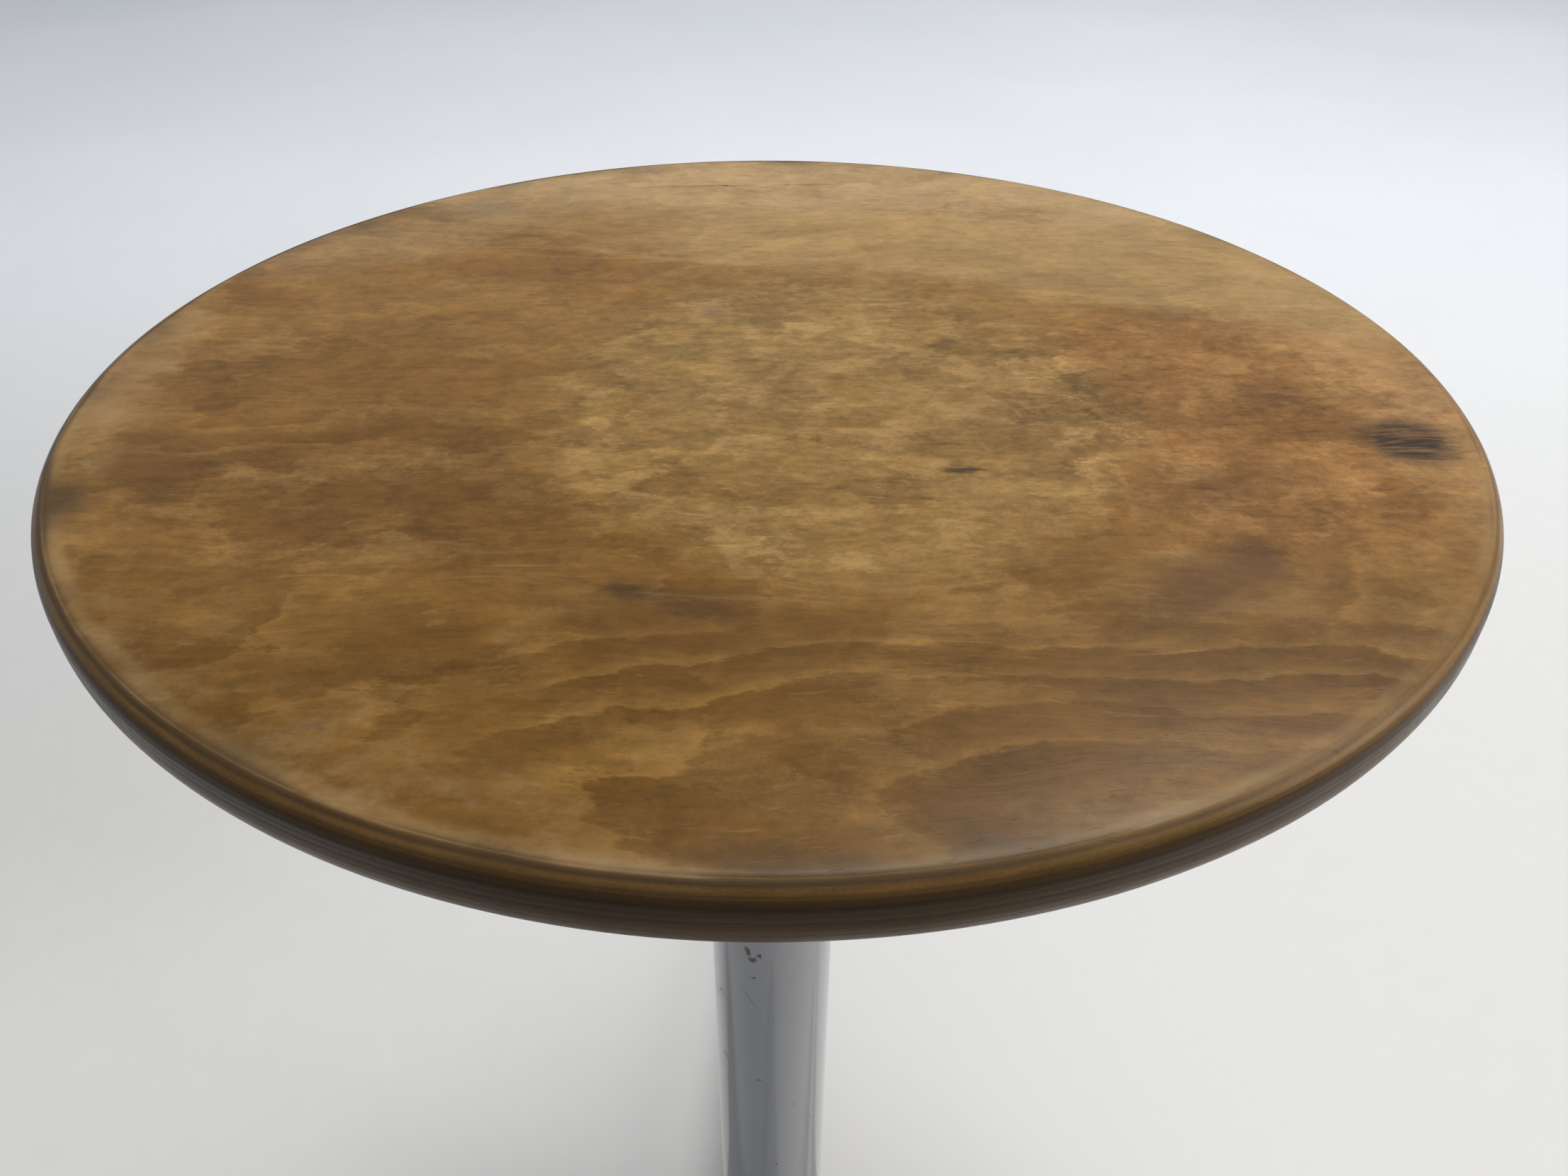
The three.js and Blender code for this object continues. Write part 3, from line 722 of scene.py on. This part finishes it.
def oiled_steel():
    """Bare machined steel with an oil film, fine tool rings and a little brown staining."""
    g = Graph("oiled_steel")
    out = g.vector("LENGTH", g.join(g.x, g.y, 0.0))
    rings = g.swing(g.join(out, 0.0, g.z), (6.0, 1.0, 6.0), 3, 0.6, 1.0)
    stain = g.step(g.noise(g.at, 0.05, 5, 0.65, 4.0), 0.5, 0.7)
    film = g.swing(g.at, (0.02, 0.02, 0.03), 3, 0.5, 9.0)
    stained = g.mix(stain * 0.5, (0.42, 0.41, 0.4), (0.2, 0.15, 0.1))
    colour = g.scaled(stained, 1.0 + rings * 0.35 + film * 0.4)
    roughness = 0.3 + stain * 0.25 + rings * 0.15 + film * 0.2
    return g.finish(colour, roughness, g.relief(rings, 0.02), Metallic=1.0)


def zinc():
    """Bright zinc plate, with a faint yellow-blue bloom and dull handling marks."""
    g = Graph("zinc_plate")
    bloom = g.noise(g.at, 0.12, 3, 0.5, 1.0)
    colour = g.ramp(bloom, (0.3, (0.55, 0.56, 0.6)), (0.5, (0.62, 0.61, 0.57)), (0.72, (0.5, 0.53, 0.58)))
    marks = g.noise(g.at, 0.9, 4, 0.6, 5.0)
    colour = g.scaled(colour, 0.75 + marks * 0.45)
    return g.finish(colour, 0.22 + marks * 0.25, g.relief(marks, 0.015), Metallic=1.0)


def bronze():
    """Cast and turned bronze, dulled at the skin and bright where the thread rubs."""
    g = Graph("nut_bronze")
    skin = g.noise(g.at, 0.2, 5, 0.65, 2.0)
    colour = g.ramp(skin, (0.3, (0.24, 0.15, 0.07)), (0.55, (0.45, 0.29, 0.12)), (0.75, (0.55, 0.37, 0.17)))
    return g.finish(colour, 0.32 + skin * 0.25, g.relief(skin, 0.05), Metallic=1.0)


def acetal():
    """White moulded bush plastic, greyed by metal dust and grease."""
    g = Graph("white_acetal")
    smear = g.step(g.noise(g.at, (0.08, 0.08, 0.03), 5, 0.65, 3.0), 0.42, 0.7)
    colour = g.mix(smear * 0.5, (0.68, 0.67, 0.61), (0.34, 0.33, 0.3))
    tool = g.noise(g.at, (0.05, 0.05, 3.0), 2, 0.5, 6.0)
    return g.finish(colour, 0.42 + smear * 0.15, g.relief(tool, 0.02))


def rubber():
    """Black moulded rubber, matt, with grey scuffs and fine grain."""
    g = Graph("black_rubber")
    grain = g.noise(g.at, 1.6, 3, 0.6, 1.0)
    scuff = g.step(g.noise(g.at, (0.12, 0.12, 0.2), 5, 0.7, 4.0), 0.5, 0.72)
    colour = g.mix(scuff * 0.45, (0.018, 0.018, 0.02), (0.075, 0.072, 0.068))
    return g.finish(colour, 0.62 + grain * 0.25, g.relief(grain, 0.05), Specular_IOR_Level=0.35)


MATERIALS = {
    "plywood": plywood(),
    "grey_enamel": enamel(),
    "spindle_steel": oiled_steel(),
    "zinc_steel": zinc(),
    "nut_bronze": bronze(),
    "bush_plastic": acetal(),
    "black_rubber": rubber(),
}


# ------------------------------------------------------------------ seat
def rod(radius, bottom, top, sides=32):
    return lathe("tool", [(0, bottom), (radius, bottom), (radius, top), (0, top)], sides)


def seat_screw_spot(degrees):
    return turned_about_z(degrees) @ Matrix.Translation((SEAT_SCREW_CIRCLE, 0, 0))


def seat_board():
    """The plywood disc. Its rim has a shallow hollow at each glue line, and the top is worn uneven."""
    top_round, bottom_round = 5.0, 10.0
    profile = [(0, SEAT_TOP)] + [(r, SEAT_TOP) for r in range(6, int(SEAT_R - top_round), 4)]
    for k in range(13):
        angle = math.radians(90 - 90 * k / 12)
        inward, down = math.cos(angle) - 1, math.sin(angle) - 1
        profile.append((SEAT_R + top_round * inward, SEAT_TOP + top_round * down))
    straight = SEAT_TOP - SEAT_UNDER - top_round - bottom_round
    profile += [(SEAT_R, SEAT_TOP - top_round - straight * k / 8) for k in range(1, 8)]
    for k in range(25):
        angle = math.radians(-90 * k / 24)
        inward, up = math.cos(angle) - 1, math.sin(angle) + 1
        profile.append((SEAT_R + bottom_round * inward, SEAT_UNDER + bottom_round * up))
    profile += [(r, SEAT_UNDER) for r in range(int(SEAT_R - bottom_round) - 7, 5, -8)] + [(0, SEAT_UNDER)]
    board = lathe("seat_board_fine", profile, 288)
    for vertex in board.data.vertices:
        p = vertex.co / MM
        out = math.hypot(p.x, p.y)
        depth = SEAT_TOP - p.z
        if out < 1:
            continue
        inward = Vector((-p.x / out, -p.y / out, 0))
        if out > SEAT_R - top_round - bottom_round and depth > 0.3:
            hollow = min(abs(depth - line) for line in GLUE_LINES)
            p += inward * 0.05 * max(0.0, 1 - hollow / 0.35) * max(0.0, 1 - depth / 9)
            p += inward * 0.1 * (1 + noise.noise((p.x * 0.03, p.y * 0.03, p.z * 0.2)))
        elif depth < 0.3:
            p.z -= 0.09 * (1 + noise.noise((p.x * 0.02, p.y * 0.035, 3.0)))
            wear = max(0.0, (out - 158) / 12)
            p.z -= 0.18 * wear * (1 + noise.noise((p.x * 0.05, p.y * 0.05, 7.0)))
        vertex.co = p * MM
    for degrees in SEAT_SCREW_ANGLES:
        hole = rod(2.5, SEAT_UNDER - 2, SEAT_UNDER + 12, 24)
        moved(hole, seat_screw_spot(degrees))
        shaped(board, hole)
    return board


def seat_plate():
    plate = turned("seat_plate_fine", [
        (0, PLATE_UNDER), (34, PLATE_UNDER), (36, PLATE_UNDER + 0.6, 1.2), (80, PLATE_UNDER + 0.6),
        (82, PLATE_UNDER, 1.2), (90, PLATE_UNDER, 1.4), (90, PLATE_TOP, 0.5), (0, PLATE_TOP)], 128)
    for degrees in SEAT_SCREW_ANGLES:
        hole = rod(2.6, PLATE_UNDER - 2, PLATE_TOP + 2, 32)
        moved(hole, seat_screw_spot(degrees))
        shaped(plate, hole)
    return plate


def cross_recess(obj, top, depth, span=4.6, blade=1.1):
    """A cross-shaped driver recess cut down into a head whose crown is at a height."""
    for size in ((span, blade), (blade, span)):
        shaped(obj, block("tool", (*size, 2 * depth), (0, 0, top)))
    return obj


def seat_screw(name):
    """A pan-head wood screw that points up, with a coarse thread on its shank."""
    head, point = PLATE_UNDER - GAP, SEAT_UNDER + 12 - GAP
    profile = rounded([
        (0, head - 2.8), (3.1, head - 2.8, 1.3), (4.5, head - 0.9, 0.7), (4.5, head, 0.2), (1.7, head)])
    z = head
    while z < point - 4:
        profile += [(1.7, z + 0.4), (2.2, z + 0.9), (1.7, z + 1.4)]
        z += 1.6
    profile += [(1.7, point - 2.6), (0, point)]
    return cross_recess(lathe(name, profile, 40, sharp=30), head - 2.8, 1.5)


def seat_boss():
    boss = turned("seat_boss_fine", [
        (10.3, BOSS_BOTTOM, 0.5), (21, BOSS_BOTTOM, 1.6), (21, BOSS_TOP, 0.4), (10.3, BOSS_TOP, 0.3)], 96)
    return shaped(boss, moved(rod(4.3, 6, 24), along_x(BOSS_BOLT_Z)))


def hex_bolt(name, seat, point, shank=4.0):
    """A hexagon-head bolt about Z, its head above seat and its shank running down to point."""
    head_t, across = 5.3, 13
    head = prism(name, across, seat, seat + head_t)
    corner = across / 2 / math.cos(math.pi / 6)
    cone = turned("tool", [
        (0, seat - 1), (corner - 0.4, seat - 1), (corner + 0.1, seat + 0.5),
        (corner + 0.1, seat + head_t - 1.0), (across / 2 - 0.3, seat + head_t, 0.6), (0, seat + head_t)], 64)
    shaped(head, cone, "INTERSECT")
    profile = [(0, point), (shank - 0.9, point), (shank - 0.4, point + 0.8)]
    z = point + 0.8
    while z < seat - 1.4:
        profile += [(shank, z + 0.35), (shank, z + 0.55), (shank - 0.55, z + 0.95), (shank - 0.55, z + 1.1)]
        z += 1.25
    profile += [(shank - 0.2, seat - 0.2), (shank - 0.2, seat + 1), (0, seat + 1)]
    return shaped(head, lathe("tool", profile, 40), "UNION", 30)


place(seat_board(), "seat", "plywood", "seat_board")
place(seat_plate(), "seat", "spindle_steel", "seat_plate")
place(seat_boss(), "seat", "spindle_steel", "seat_boss")
boss_bolt = moved(hex_bolt("boss_bolt_fine", seat=21.3, point=10.3), along_x(BOSS_BOLT_Z))
place(boss_bolt, "seat", "zinc_steel", "boss_bolt")
for number, degrees in enumerate(SEAT_SCREW_ANGLES, 1):
    place_copy("seat_screw", number, seat_screw, seat_screw_spot(degrees), "seat", "zinc_steel")
boss_ring = [on_circle(22.2, k / 110, PLATE_UNDER - 1.0) for k in range(110)]
place(weld("weld_boss", boss_ring, 1.8, loop=True), "seat", "spindle_steel")


# ------------------------------------------------------------------ spindle and its lower guide
PITCH, THREAD_R, THREAD_ROOT_R, CREST = 8.0, 14.0, 9.5, 0.366


def helix(bottom, top, grow, sides=72):
    """A single-start right-hand trapezoidal thread as a closed solid with eased crests and roots."""
    root, tip = THREAD_ROOT_R + grow, THREAD_R + grow
    spread = 2 * grow / PITCH
    flank = (1 - 2 * CREST) / 2
    ease = 0.35
    tilt = flank / (tip - root) * ease
    edge = ease / PITCH
    section = [
        (tip - ease, -tilt), (tip, edge), (tip, CREST + spread - edge), (tip - ease, CREST + spread + tilt),
        (root + ease, CREST + flank + spread - tilt), (root, CREST + flank + spread + edge),
        (root, 1 - flank - edge), (root + ease, 1 - flank + tilt),
    ]
    section = [(r, (share - CREST / 2 - spread / 2) * PITCH) for r, share in section]
    rows = (math.ceil((top - bottom) / PITCH) + 3) * len(section)
    start = math.floor(bottom / PITCH - 1) * PITCH
    points = []
    for row in range(rows + 1):
        r, rise = section[row % len(section)]
        lift = row // len(section) * PITCH
        for side in range(sides):
            points.append(on_circle(r, side / sides, start + lift + rise + side / sides * PITCH))

    def index(row, side):
        return (row + side // sides * len(section)) * sides + side % sides

    last = rows - len(section)
    faces = [
        (index(row, side), index(row, side + 1), index(row + 1, side + 1), index(row + 1, side))
        for row in range(last)
        for side in range(sides)
    ]
    for row in (0, last):
        loop = [index(row, side) for side in range(sides + 1)]
        loop += [index(row + back, 0) for back in range(len(section) - 1, 0, -1)]
        hub = len(points)
        rise = section[row % len(section)][1]
        points.append((0, 0, start + rise + (row // len(section) + 0.5) * PITCH))
        faces += [(hub, a, b) for a, b in zip(loop, loop[1:] + loop[:1])]
    used = sorted({i for face in faces for i in face})
    number = {old: new for new, old in enumerate(used)}
    faces = [tuple(number[i] for i in face) for face in faces]
    return make_object("thread", [points[i] for i in used], faces, 40)


def spindle():
    top, bottom = BOSS_BOTTOM - GAP, BUSH_TOP + GAP
    thread = helix(bottom, top, 0)
    thread.name = "spindle_fine"
    shaped(thread, lathe("tool", [
        (0, bottom), (THREAD_R - 3, bottom), (THREAD_R + 1, bottom + 4), (THREAD_R + 1, top),
        (0, top)], 96), "INTERSECT")
    shaped(thread, turned("tool", [
        (0, top - 4.4), (THREAD_R, top - 4.4, 0.3), (THREAD_R, top, 0.8), (10, top, 0.2), (10, BOSS_TOP, 0.8),
        (0, BOSS_TOP)], 96), "UNION")
    shaped(thread, turned("tool", [
        (0, BUSH_BOTTOM), (7, BUSH_BOTTOM, 0.8), (7, bottom + 1), (0, bottom + 1)], 72), "UNION")
    return shaped(thread, rod(4.3, BUSH_BOTTOM - 1, BUSH_BOTTOM + 18), sharp=32)


place(spindle(), "seat", "spindle_steel", "spindle")
bush = turned("guide_bush_fine", [
    (7.3, BUSH_BOTTOM, 0.6), (20.2, BUSH_BOTTOM, 1.2), (20.2, BUSH_BOTTOM + 8, 0.3),
    (19.4, BUSH_BOTTOM + 9, 0.3), (19.4, BUSH_TOP - 9, 0.3), (20.2, BUSH_TOP - 8, 0.3),
    (20.2, BUSH_TOP, 1.2), (7.3, BUSH_TOP, 0.6)], 96)
place(bush, "guide", "bush_plastic", "guide_bush")
washer_top = level("stop_washer", True)
washer = turned("stop_washer_fine", [
    (4.3, washer_top - 3, 0.3), (16, washer_top - 3, 0.9), (16, washer_top, 0.3), (4.3, washer_top, 0.3)], 72)
place(washer, "seat", "zinc_steel", "stop_washer")
stop_bolt = hex_bolt("stop_bolt_fine", 0, -(3 + 2 * GAP + 18 - GAP))
moved(stop_bolt, Matrix.Translation((0, 0, washer_top - 3 - GAP)) @ Matrix.Rotation(math.pi, 4, "X"))
place(stop_bolt, "seat", "zinc_steel", "stop_bolt")


# ------------------------------------------------------------------ column and nut
NUT_SCREW_Z = COLUMN_TOP - 19


def nut_screw_hole(degrees, start):
    return moved(rod(2.8, start, COLUMN_R + 3, 24), turned_about_z(degrees) @ along_x(NUT_SCREW_Z))


def column_tube():
    tube = turned("column_tube_fine", [
        (BORE_R, COLUMN_BOTTOM, 0.4), (COLUMN_R, COLUMN_BOTTOM, 0.6), (COLUMN_R, COLUMN_TOP, 0.9),
        (BORE_R, COLUMN_TOP, 0.5)], 192)
    for degrees in NUT_SCREW_ANGLES:
        shaped(tube, nut_screw_hole(degrees, BORE_R - 3))
    return tube


def spindle_nut():
    outer, under, top = BORE_R - GAP, COLUMN_TOP + GAP, COLUMN_TOP + GAP + 5
    nut = turned("spindle_nut_fine", [
        (0, NUT_BOTTOM), (outer, NUT_BOTTOM, 1), (outer, under, 0.2), (COLUMN_R, under, 0.4),
        (COLUMN_R, top, 1.3), (17.5, top, 0.3), (15.6, top - 1.6, 0.3), (0, top - 1.6)], 128)
    shaped(nut, helix(NUT_BOTTOM - 2, top + 2, 0.35))
    for degrees in NUT_SCREW_ANGLES:
        shaped(nut, nut_screw_hole(degrees, 15.3))
    return nut


def nut_screw(name):
    """A button-head screw about Z with a hexagon socket in its crown."""
    seat = COLUMN_R + GAP
    screw = turned(name, [
        (0, 15.6), (2.1, 15.6, 0.3), (2.5, 16.2), (2.5, seat), (4.6, seat, 0.2), (4.4, seat + 1.4, 0.9),
        (2.9, seat + 2.8, 0.9), (0, seat + 2.8)], 48)
    return shaped(screw, prism("tool", 3, seat + 1.1, seat + 4))


place(column_tube(), "base", "grey_enamel", "column_tube")
place(spindle_nut(), "base", "nut_bronze", "spindle_nut")
for number, degrees in enumerate(NUT_SCREW_ANGLES, 1):
    spot = turned_about_z(degrees) @ along_x(NUT_SCREW_Z)
    place_copy("nut_screw", number, nut_screw, spot, "base", "zinc_steel")


# ------------------------------------------------------------------ base
SOCKET_R = 29.0
SOCKET_SCREW_Z = 81.0


def base_socket():
    bore = COLUMN_R + GAP
    socket = turned("base_socket_fine", [
        (bore, SOCKET_BOTTOM, 0.4), (SOCKET_R, SOCKET_BOTTOM, 1.2), (SOCKET_R, SOCKET_TOP, 2.6),
        (bore, SOCKET_TOP, 0.5)], 128)
    for degrees in SOCKET_SCREW_ANGLES:
        hole = lathe("tool", [(0, bore - 3), (3.3, bore - 3), (3.3, SOCKET_R - 0.6), (4.6, SOCKET_R + 1),
                              (0, SOCKET_R + 1)], 40)
        shaped(socket, moved(hole, turned_about_z(degrees) @ along_x(SOCKET_SCREW_Z)))
    return socket


def grub_screw(name):
    start, end = COLUMN_R + GAP, SOCKET_R + 1.5
    screw = turned(name, [
        (0, start), (2.2, start), (3, start + 0.8), (3, end, 0.4), (0, end)], 48)
    return shaped(screw, prism("tool", 3, end - 3.5, end + 1))


def base_plug():
    flange_top = SOCKET_BOTTOM - GAP
    stem = BORE_R - GAP
    return turned("base_plug_fine", [
        (0, flange_top - 1.8), (13, flange_top - 1.8, 1), (14.5, flange_top - 3, 0.8),
        (28, flange_top - 3, 1.4), (28, flange_top, 0.5), (stem, flange_top, 0.2),
        (stem, flange_top + 4, 0.3), (stem - 0.8, flange_top + 5, 0.3), (stem, flange_top + 6, 0.3),
        (stem, flange_top + 14, 0.8), (stem - 3, flange_top + 17, 0.8),
        (0, flange_top + 17)], 96)


place(base_socket(), "base", "grey_enamel", "base_socket")
for number, degrees in enumerate(SOCKET_SCREW_ANGLES, 1):
    spot = turned_about_z(degrees) @ along_x(SOCKET_SCREW_Z)
    place_copy("socket_screw", number, grub_screw, spot, "base", "spindle_steel")
place(base_plug(), "base", "black_rubber", "base_plug")


# ------------------------------------------------------------------ legs
LEG_REACH, LEG_HALF, LEG_SHEET, LEG_BEND = 250.0, 17.0, 2.5, 150.0
LEG_ROUND = 5.0
FOOT_AT = LEG_REACH - LEG_HALF
ROOT_TOP, BEND_TOP, TIP_TOP, TIP_BOTTOM = (25.0, 74.6), (LEG_BEND, 55.0), 38.0, 16.0
ROOT_BOTTOM, FOOT_START = (25.0, 36.36), 208.0


def leg_top(x):
    """Height of the leg's upper face at a distance from the axis."""
    if x <= LEG_BEND:
        return ROOT_TOP[1] + (BEND_TOP[1] - ROOT_TOP[1]) * (x - ROOT_TOP[0]) / (LEG_BEND - ROOT_TOP[0])
    control, end = LEG_REACH - 30, LEG_REACH + 5
    a, b, c = LEG_BEND - 2 * control + end, 2 * (control - LEG_BEND), LEG_BEND - x
    t = (-b + math.sqrt(b * b - 4 * a * c)) / (2 * a)
    return BEND_TOP[1] * (1 - t) ** 2 + TIP_TOP * (2 * t * (1 - t) + t * t)


def leg_bottom(x):
    if x >= FOOT_START:
        return TIP_BOTTOM
    root_x, root_z = ROOT_BOTTOM
    return root_z + (TIP_BOTTOM - root_z) * (x - root_x) / (FOOT_START - root_x)


def leg_plan(inset, start):
    """Points of the leg's outline from above, from its root along one side, round the tip and back."""
    half = LEG_HALF - inset
    root = math.sqrt(start * start - half * half)
    straight = 46
    side = [(root + (FOOT_AT - root) * k / straight, -half) for k in range(straight)]
    tip = [(FOOT_AT + half * math.cos(a), half * math.sin(a))
           for a in (math.radians(-90 + 180 * k / 32) for k in range(33))]
    return side + tip + [(x, -y) for x, y in reversed(side)]


def leg(name):
    """One leg of folded sheet: a web and two sides with a rounded fold, open below, and a foot plate."""
    start = SOCKET_R + GAP
    points, loops = [], []
    for share in (1.0, 0.75, 0.5, 0.25, 0.0):
        loops.append([])
        for x, y in leg_plan(0, start):
            high, low = leg_top(x) - LEG_ROUND, leg_bottom(x)
            loops[-1].append(len(points))
            points.append((x, y, low + (high - low) * (1 - share)))
    for k in range(1, 7):
        angle = math.radians(90 * k / 6)
        inset, drop = LEG_ROUND * (1 - math.cos(angle)), LEG_ROUND * (1 - math.sin(angle))
        loops.append([])
        for x, y in leg_plan(inset, start):
            loops[-1].append(len(points))
            points.append((x, y, leg_top(x) - drop))
    faces = [
        (a[i], a[i + 1], b[i + 1], b[i])
        for a, b in zip(loops, loops[1:])
        for i in range(len(a) - 1)
    ]
    # the web joins the two sides of the last loop, and its root follows the socket's curve
    inner = loops[-1]
    across = 6
    count = len(inner)
    rows = []
    for i in range(count // 2):
        left, right = Vector(points[inner[i]]), Vector(points[inner[count - 1 - i]])
        row = [inner[i]]
        for k in range(1, across):
            p = left.lerp(right, k / across)
            root = math.sqrt(start * start - p.y * p.y) - math.sqrt(start * start - left.y * left.y)
            p.x += root * max(0.0, 1 - i / 6)
            p.z = leg_top(p.x)
            row.append(len(points))
            points.append(tuple(p))
        rows.append(row + [inner[count - 1 - i]])
    faces += [
        (a[k], a[k + 1], b[k + 1], b[k]) for a, b in zip(rows, rows[1:]) for k in range(across)
    ]
    tip = inner[count // 2]
    faces += [(rows[-1][k], rows[-1][k + 1], tip) for k in range(across)]
    shell = make_object(name, points, faces, 50)
    sheet = shell.modifiers.new("sheet", "SOLIDIFY")
    sheet.thickness = LEG_SHEET * MM
    sheet.offset = -1
    sheet.use_even_offset = True
    bpy.context.view_layer.update()
    shell.data = bpy.data.meshes.new_from_object(shell.evaluated_get(bpy.context.evaluated_depsgraph_get()))
    shell.modifiers.clear()
    plate = turned("tool", [
        (4.3, TIP_BOTTOM, 0.3), (14.9, TIP_BOTTOM), (14.9, TIP_BOTTOM + 3), (4.3, TIP_BOTTOM + 3, 0.3)], 48)
    moved(plate, Matrix.Translation((FOOT_AT, 0, 0)))
    work = bmesh.new()
    work.from_mesh(shell.data)
    work.from_mesh(plate.data)
    work.to_mesh(shell.data)
    work.free()
    bpy.data.objects.remove(plate)
    tidy_normals(shell, 50)
    return shell


def leg_weld_path():
    """Round the leg's root where it meets the socket."""
    start = SOCKET_R + 0.6
    high, low = leg_top(start), leg_bottom(start)
    outline = [(-LEG_HALF, low + (high - LEG_ROUND - low) * k / 26) for k in range(27)]
    outline += [(-LEG_HALF + LEG_ROUND * (1 - math.cos(a)), high - LEG_ROUND * (1 - math.sin(a)))
                for a in (math.radians(90 * k / 5) for k in range(1, 6))]
    outline += [(-LEG_HALF + LEG_ROUND + (LEG_HALF - LEG_ROUND) * k / 7, high) for k in range(1, 8)]
    outline += [(-y, z) for y, z in reversed(outline[:-1])]
    return [(math.sqrt(start * start - y * y), y, z) for y, z in outline]


def foot_pad(name):
    """A moulded foot: a flat sole with a wear groove, a bulged tread and a collar under the leg."""
    pad = turned(name, [
        (0, 0.4), (9, 0.4, 0.3), (9.6, 0, 0.4), (15.3, 0, 1.2), (17, 2.0, 1.2), (17, 4.6, 0.4),
        (16.5, 5.0, 0.3), (17, 5.4, 0.4), (17, 8, 1.6), (14, 11, 1.4), (12, 15.7, 0.9), (0, 15.7)], 96)
    return shaped(pad, rod(4.3, 4.7, 17, 40))


def foot_stud(name):
    profile = [(0, 5), (3.2, 5), (4, 5.8)]
    z = 5.8
    while z < 25.4:
        profile += [(4, z + 0.3), (3.5, z + 0.7), (3.5, z + 0.8), (4, z + 1.2)]
        z += 1.25
    profile += [(3.3, 27), (0, 27)]
    return lathe(name, profile, 40, sharp=25)


for number, degrees in enumerate(LEG_ANGLES, 1):
    turn = turned_about_z(degrees)
    foot = turn @ Matrix.Translation((FOOT_AT, 0, 0))
    place_copy("leg", number, leg, turn, "base", "grey_enamel")
    place(moved(weld(f"weld_leg_{number}", leg_weld_path(), 1.7), turn), "base", "grey_enamel")
    place_copy("foot_pad", number, foot_pad, foot, "base", "black_rubber")
    place_copy("foot_stud", number, foot_stud, foot, "base", "zinc_steel")


# ------------------------------------------------------------------ floor and light
def add_floor():
    g = Graph("pale_floor")
    tone = g.noise(g.at, (0.0016, 0.0016, 1), 3, 0.5, 2.0)
    grain = g.noise(g.at, (0.05, 0.05, 1), 3, 0.6, 4.0)
    colour = g.ramp(tone, (0.3, (0.595, 0.61, 0.635)), (0.7, (0.63, 0.637, 0.645)))
    # painted shade: the floor is painted darker and warmer towards the front, and darker at the left as a
    # painted shadow of the stool
    front = g.step(g.y, 1700, 300)
    painted_left_shadow = g.step(g.x + g.y * 0.3, -60, -420) * g.step(g.y, 1500, 500) * g.step(g.y, 120, 360)
    colour = g.mix(front, colour, (0.615, 0.605, 0.585))
    colour = g.scaled(colour, 1.0 + grain * 0.04 - front * 0.13 - painted_left_shadow * 0.12)
    g.finish(colour, 0.55 + grain * 0.1, g.relief(grain, 0.2))
    half = 12000.0
    corners = [(-half, -half, 0), (half, -half, 0), (half, half, 0), (-half, half, 0)]
    floor = make_object("floor", corners, [(0, 1, 2, 3)])
    floor.data.materials.append(g.material)


def add_softbox(name, place_at, aim, size, power, colour):
    data = bpy.data.lights.new(name, "AREA")
    data.shape = "RECTANGLE"
    data.size, data.size_y = size
    data.energy = power
    data.color = colour
    light = bpy.data.objects.new(name, data)
    scene.collection.objects.link(light)
    light.location = place_at
    light.rotation_euler = (Vector(aim) - Vector(place_at)).to_track_quat("-Z", "Y").to_euler()
    light.visible_camera = False


def add_light():
    world = bpy.data.worlds.new("studio")
    world.use_nodes = True
    background = world.node_tree.nodes["Background"]
    background.inputs["Color"].default_value = (0.86, 0.91, 1.0, 1)
    background.inputs["Strength"].default_value = 0.38
    scene.world = world
    add_softbox("softbox_over", (0.6, 0.2, 3.2), (0, 0, 0.3), (2.8, 2.4), 36, (1.0, 0.98, 0.93))
    add_softbox("softbox_right", (3.0, -0.5, 1.9), (0, 0, 0.4), (1.8, 2.2), 48, (1.0, 0.97, 0.93))
    add_softbox("softbox_back", (1.1, 1.9, 4.5), (0.5, 2.4, 0), (4.0, 1.8), 175, (0.975, 0.985, 1.0))
    scene.view_settings.view_transform = "Standard"


add_floor()
add_light()
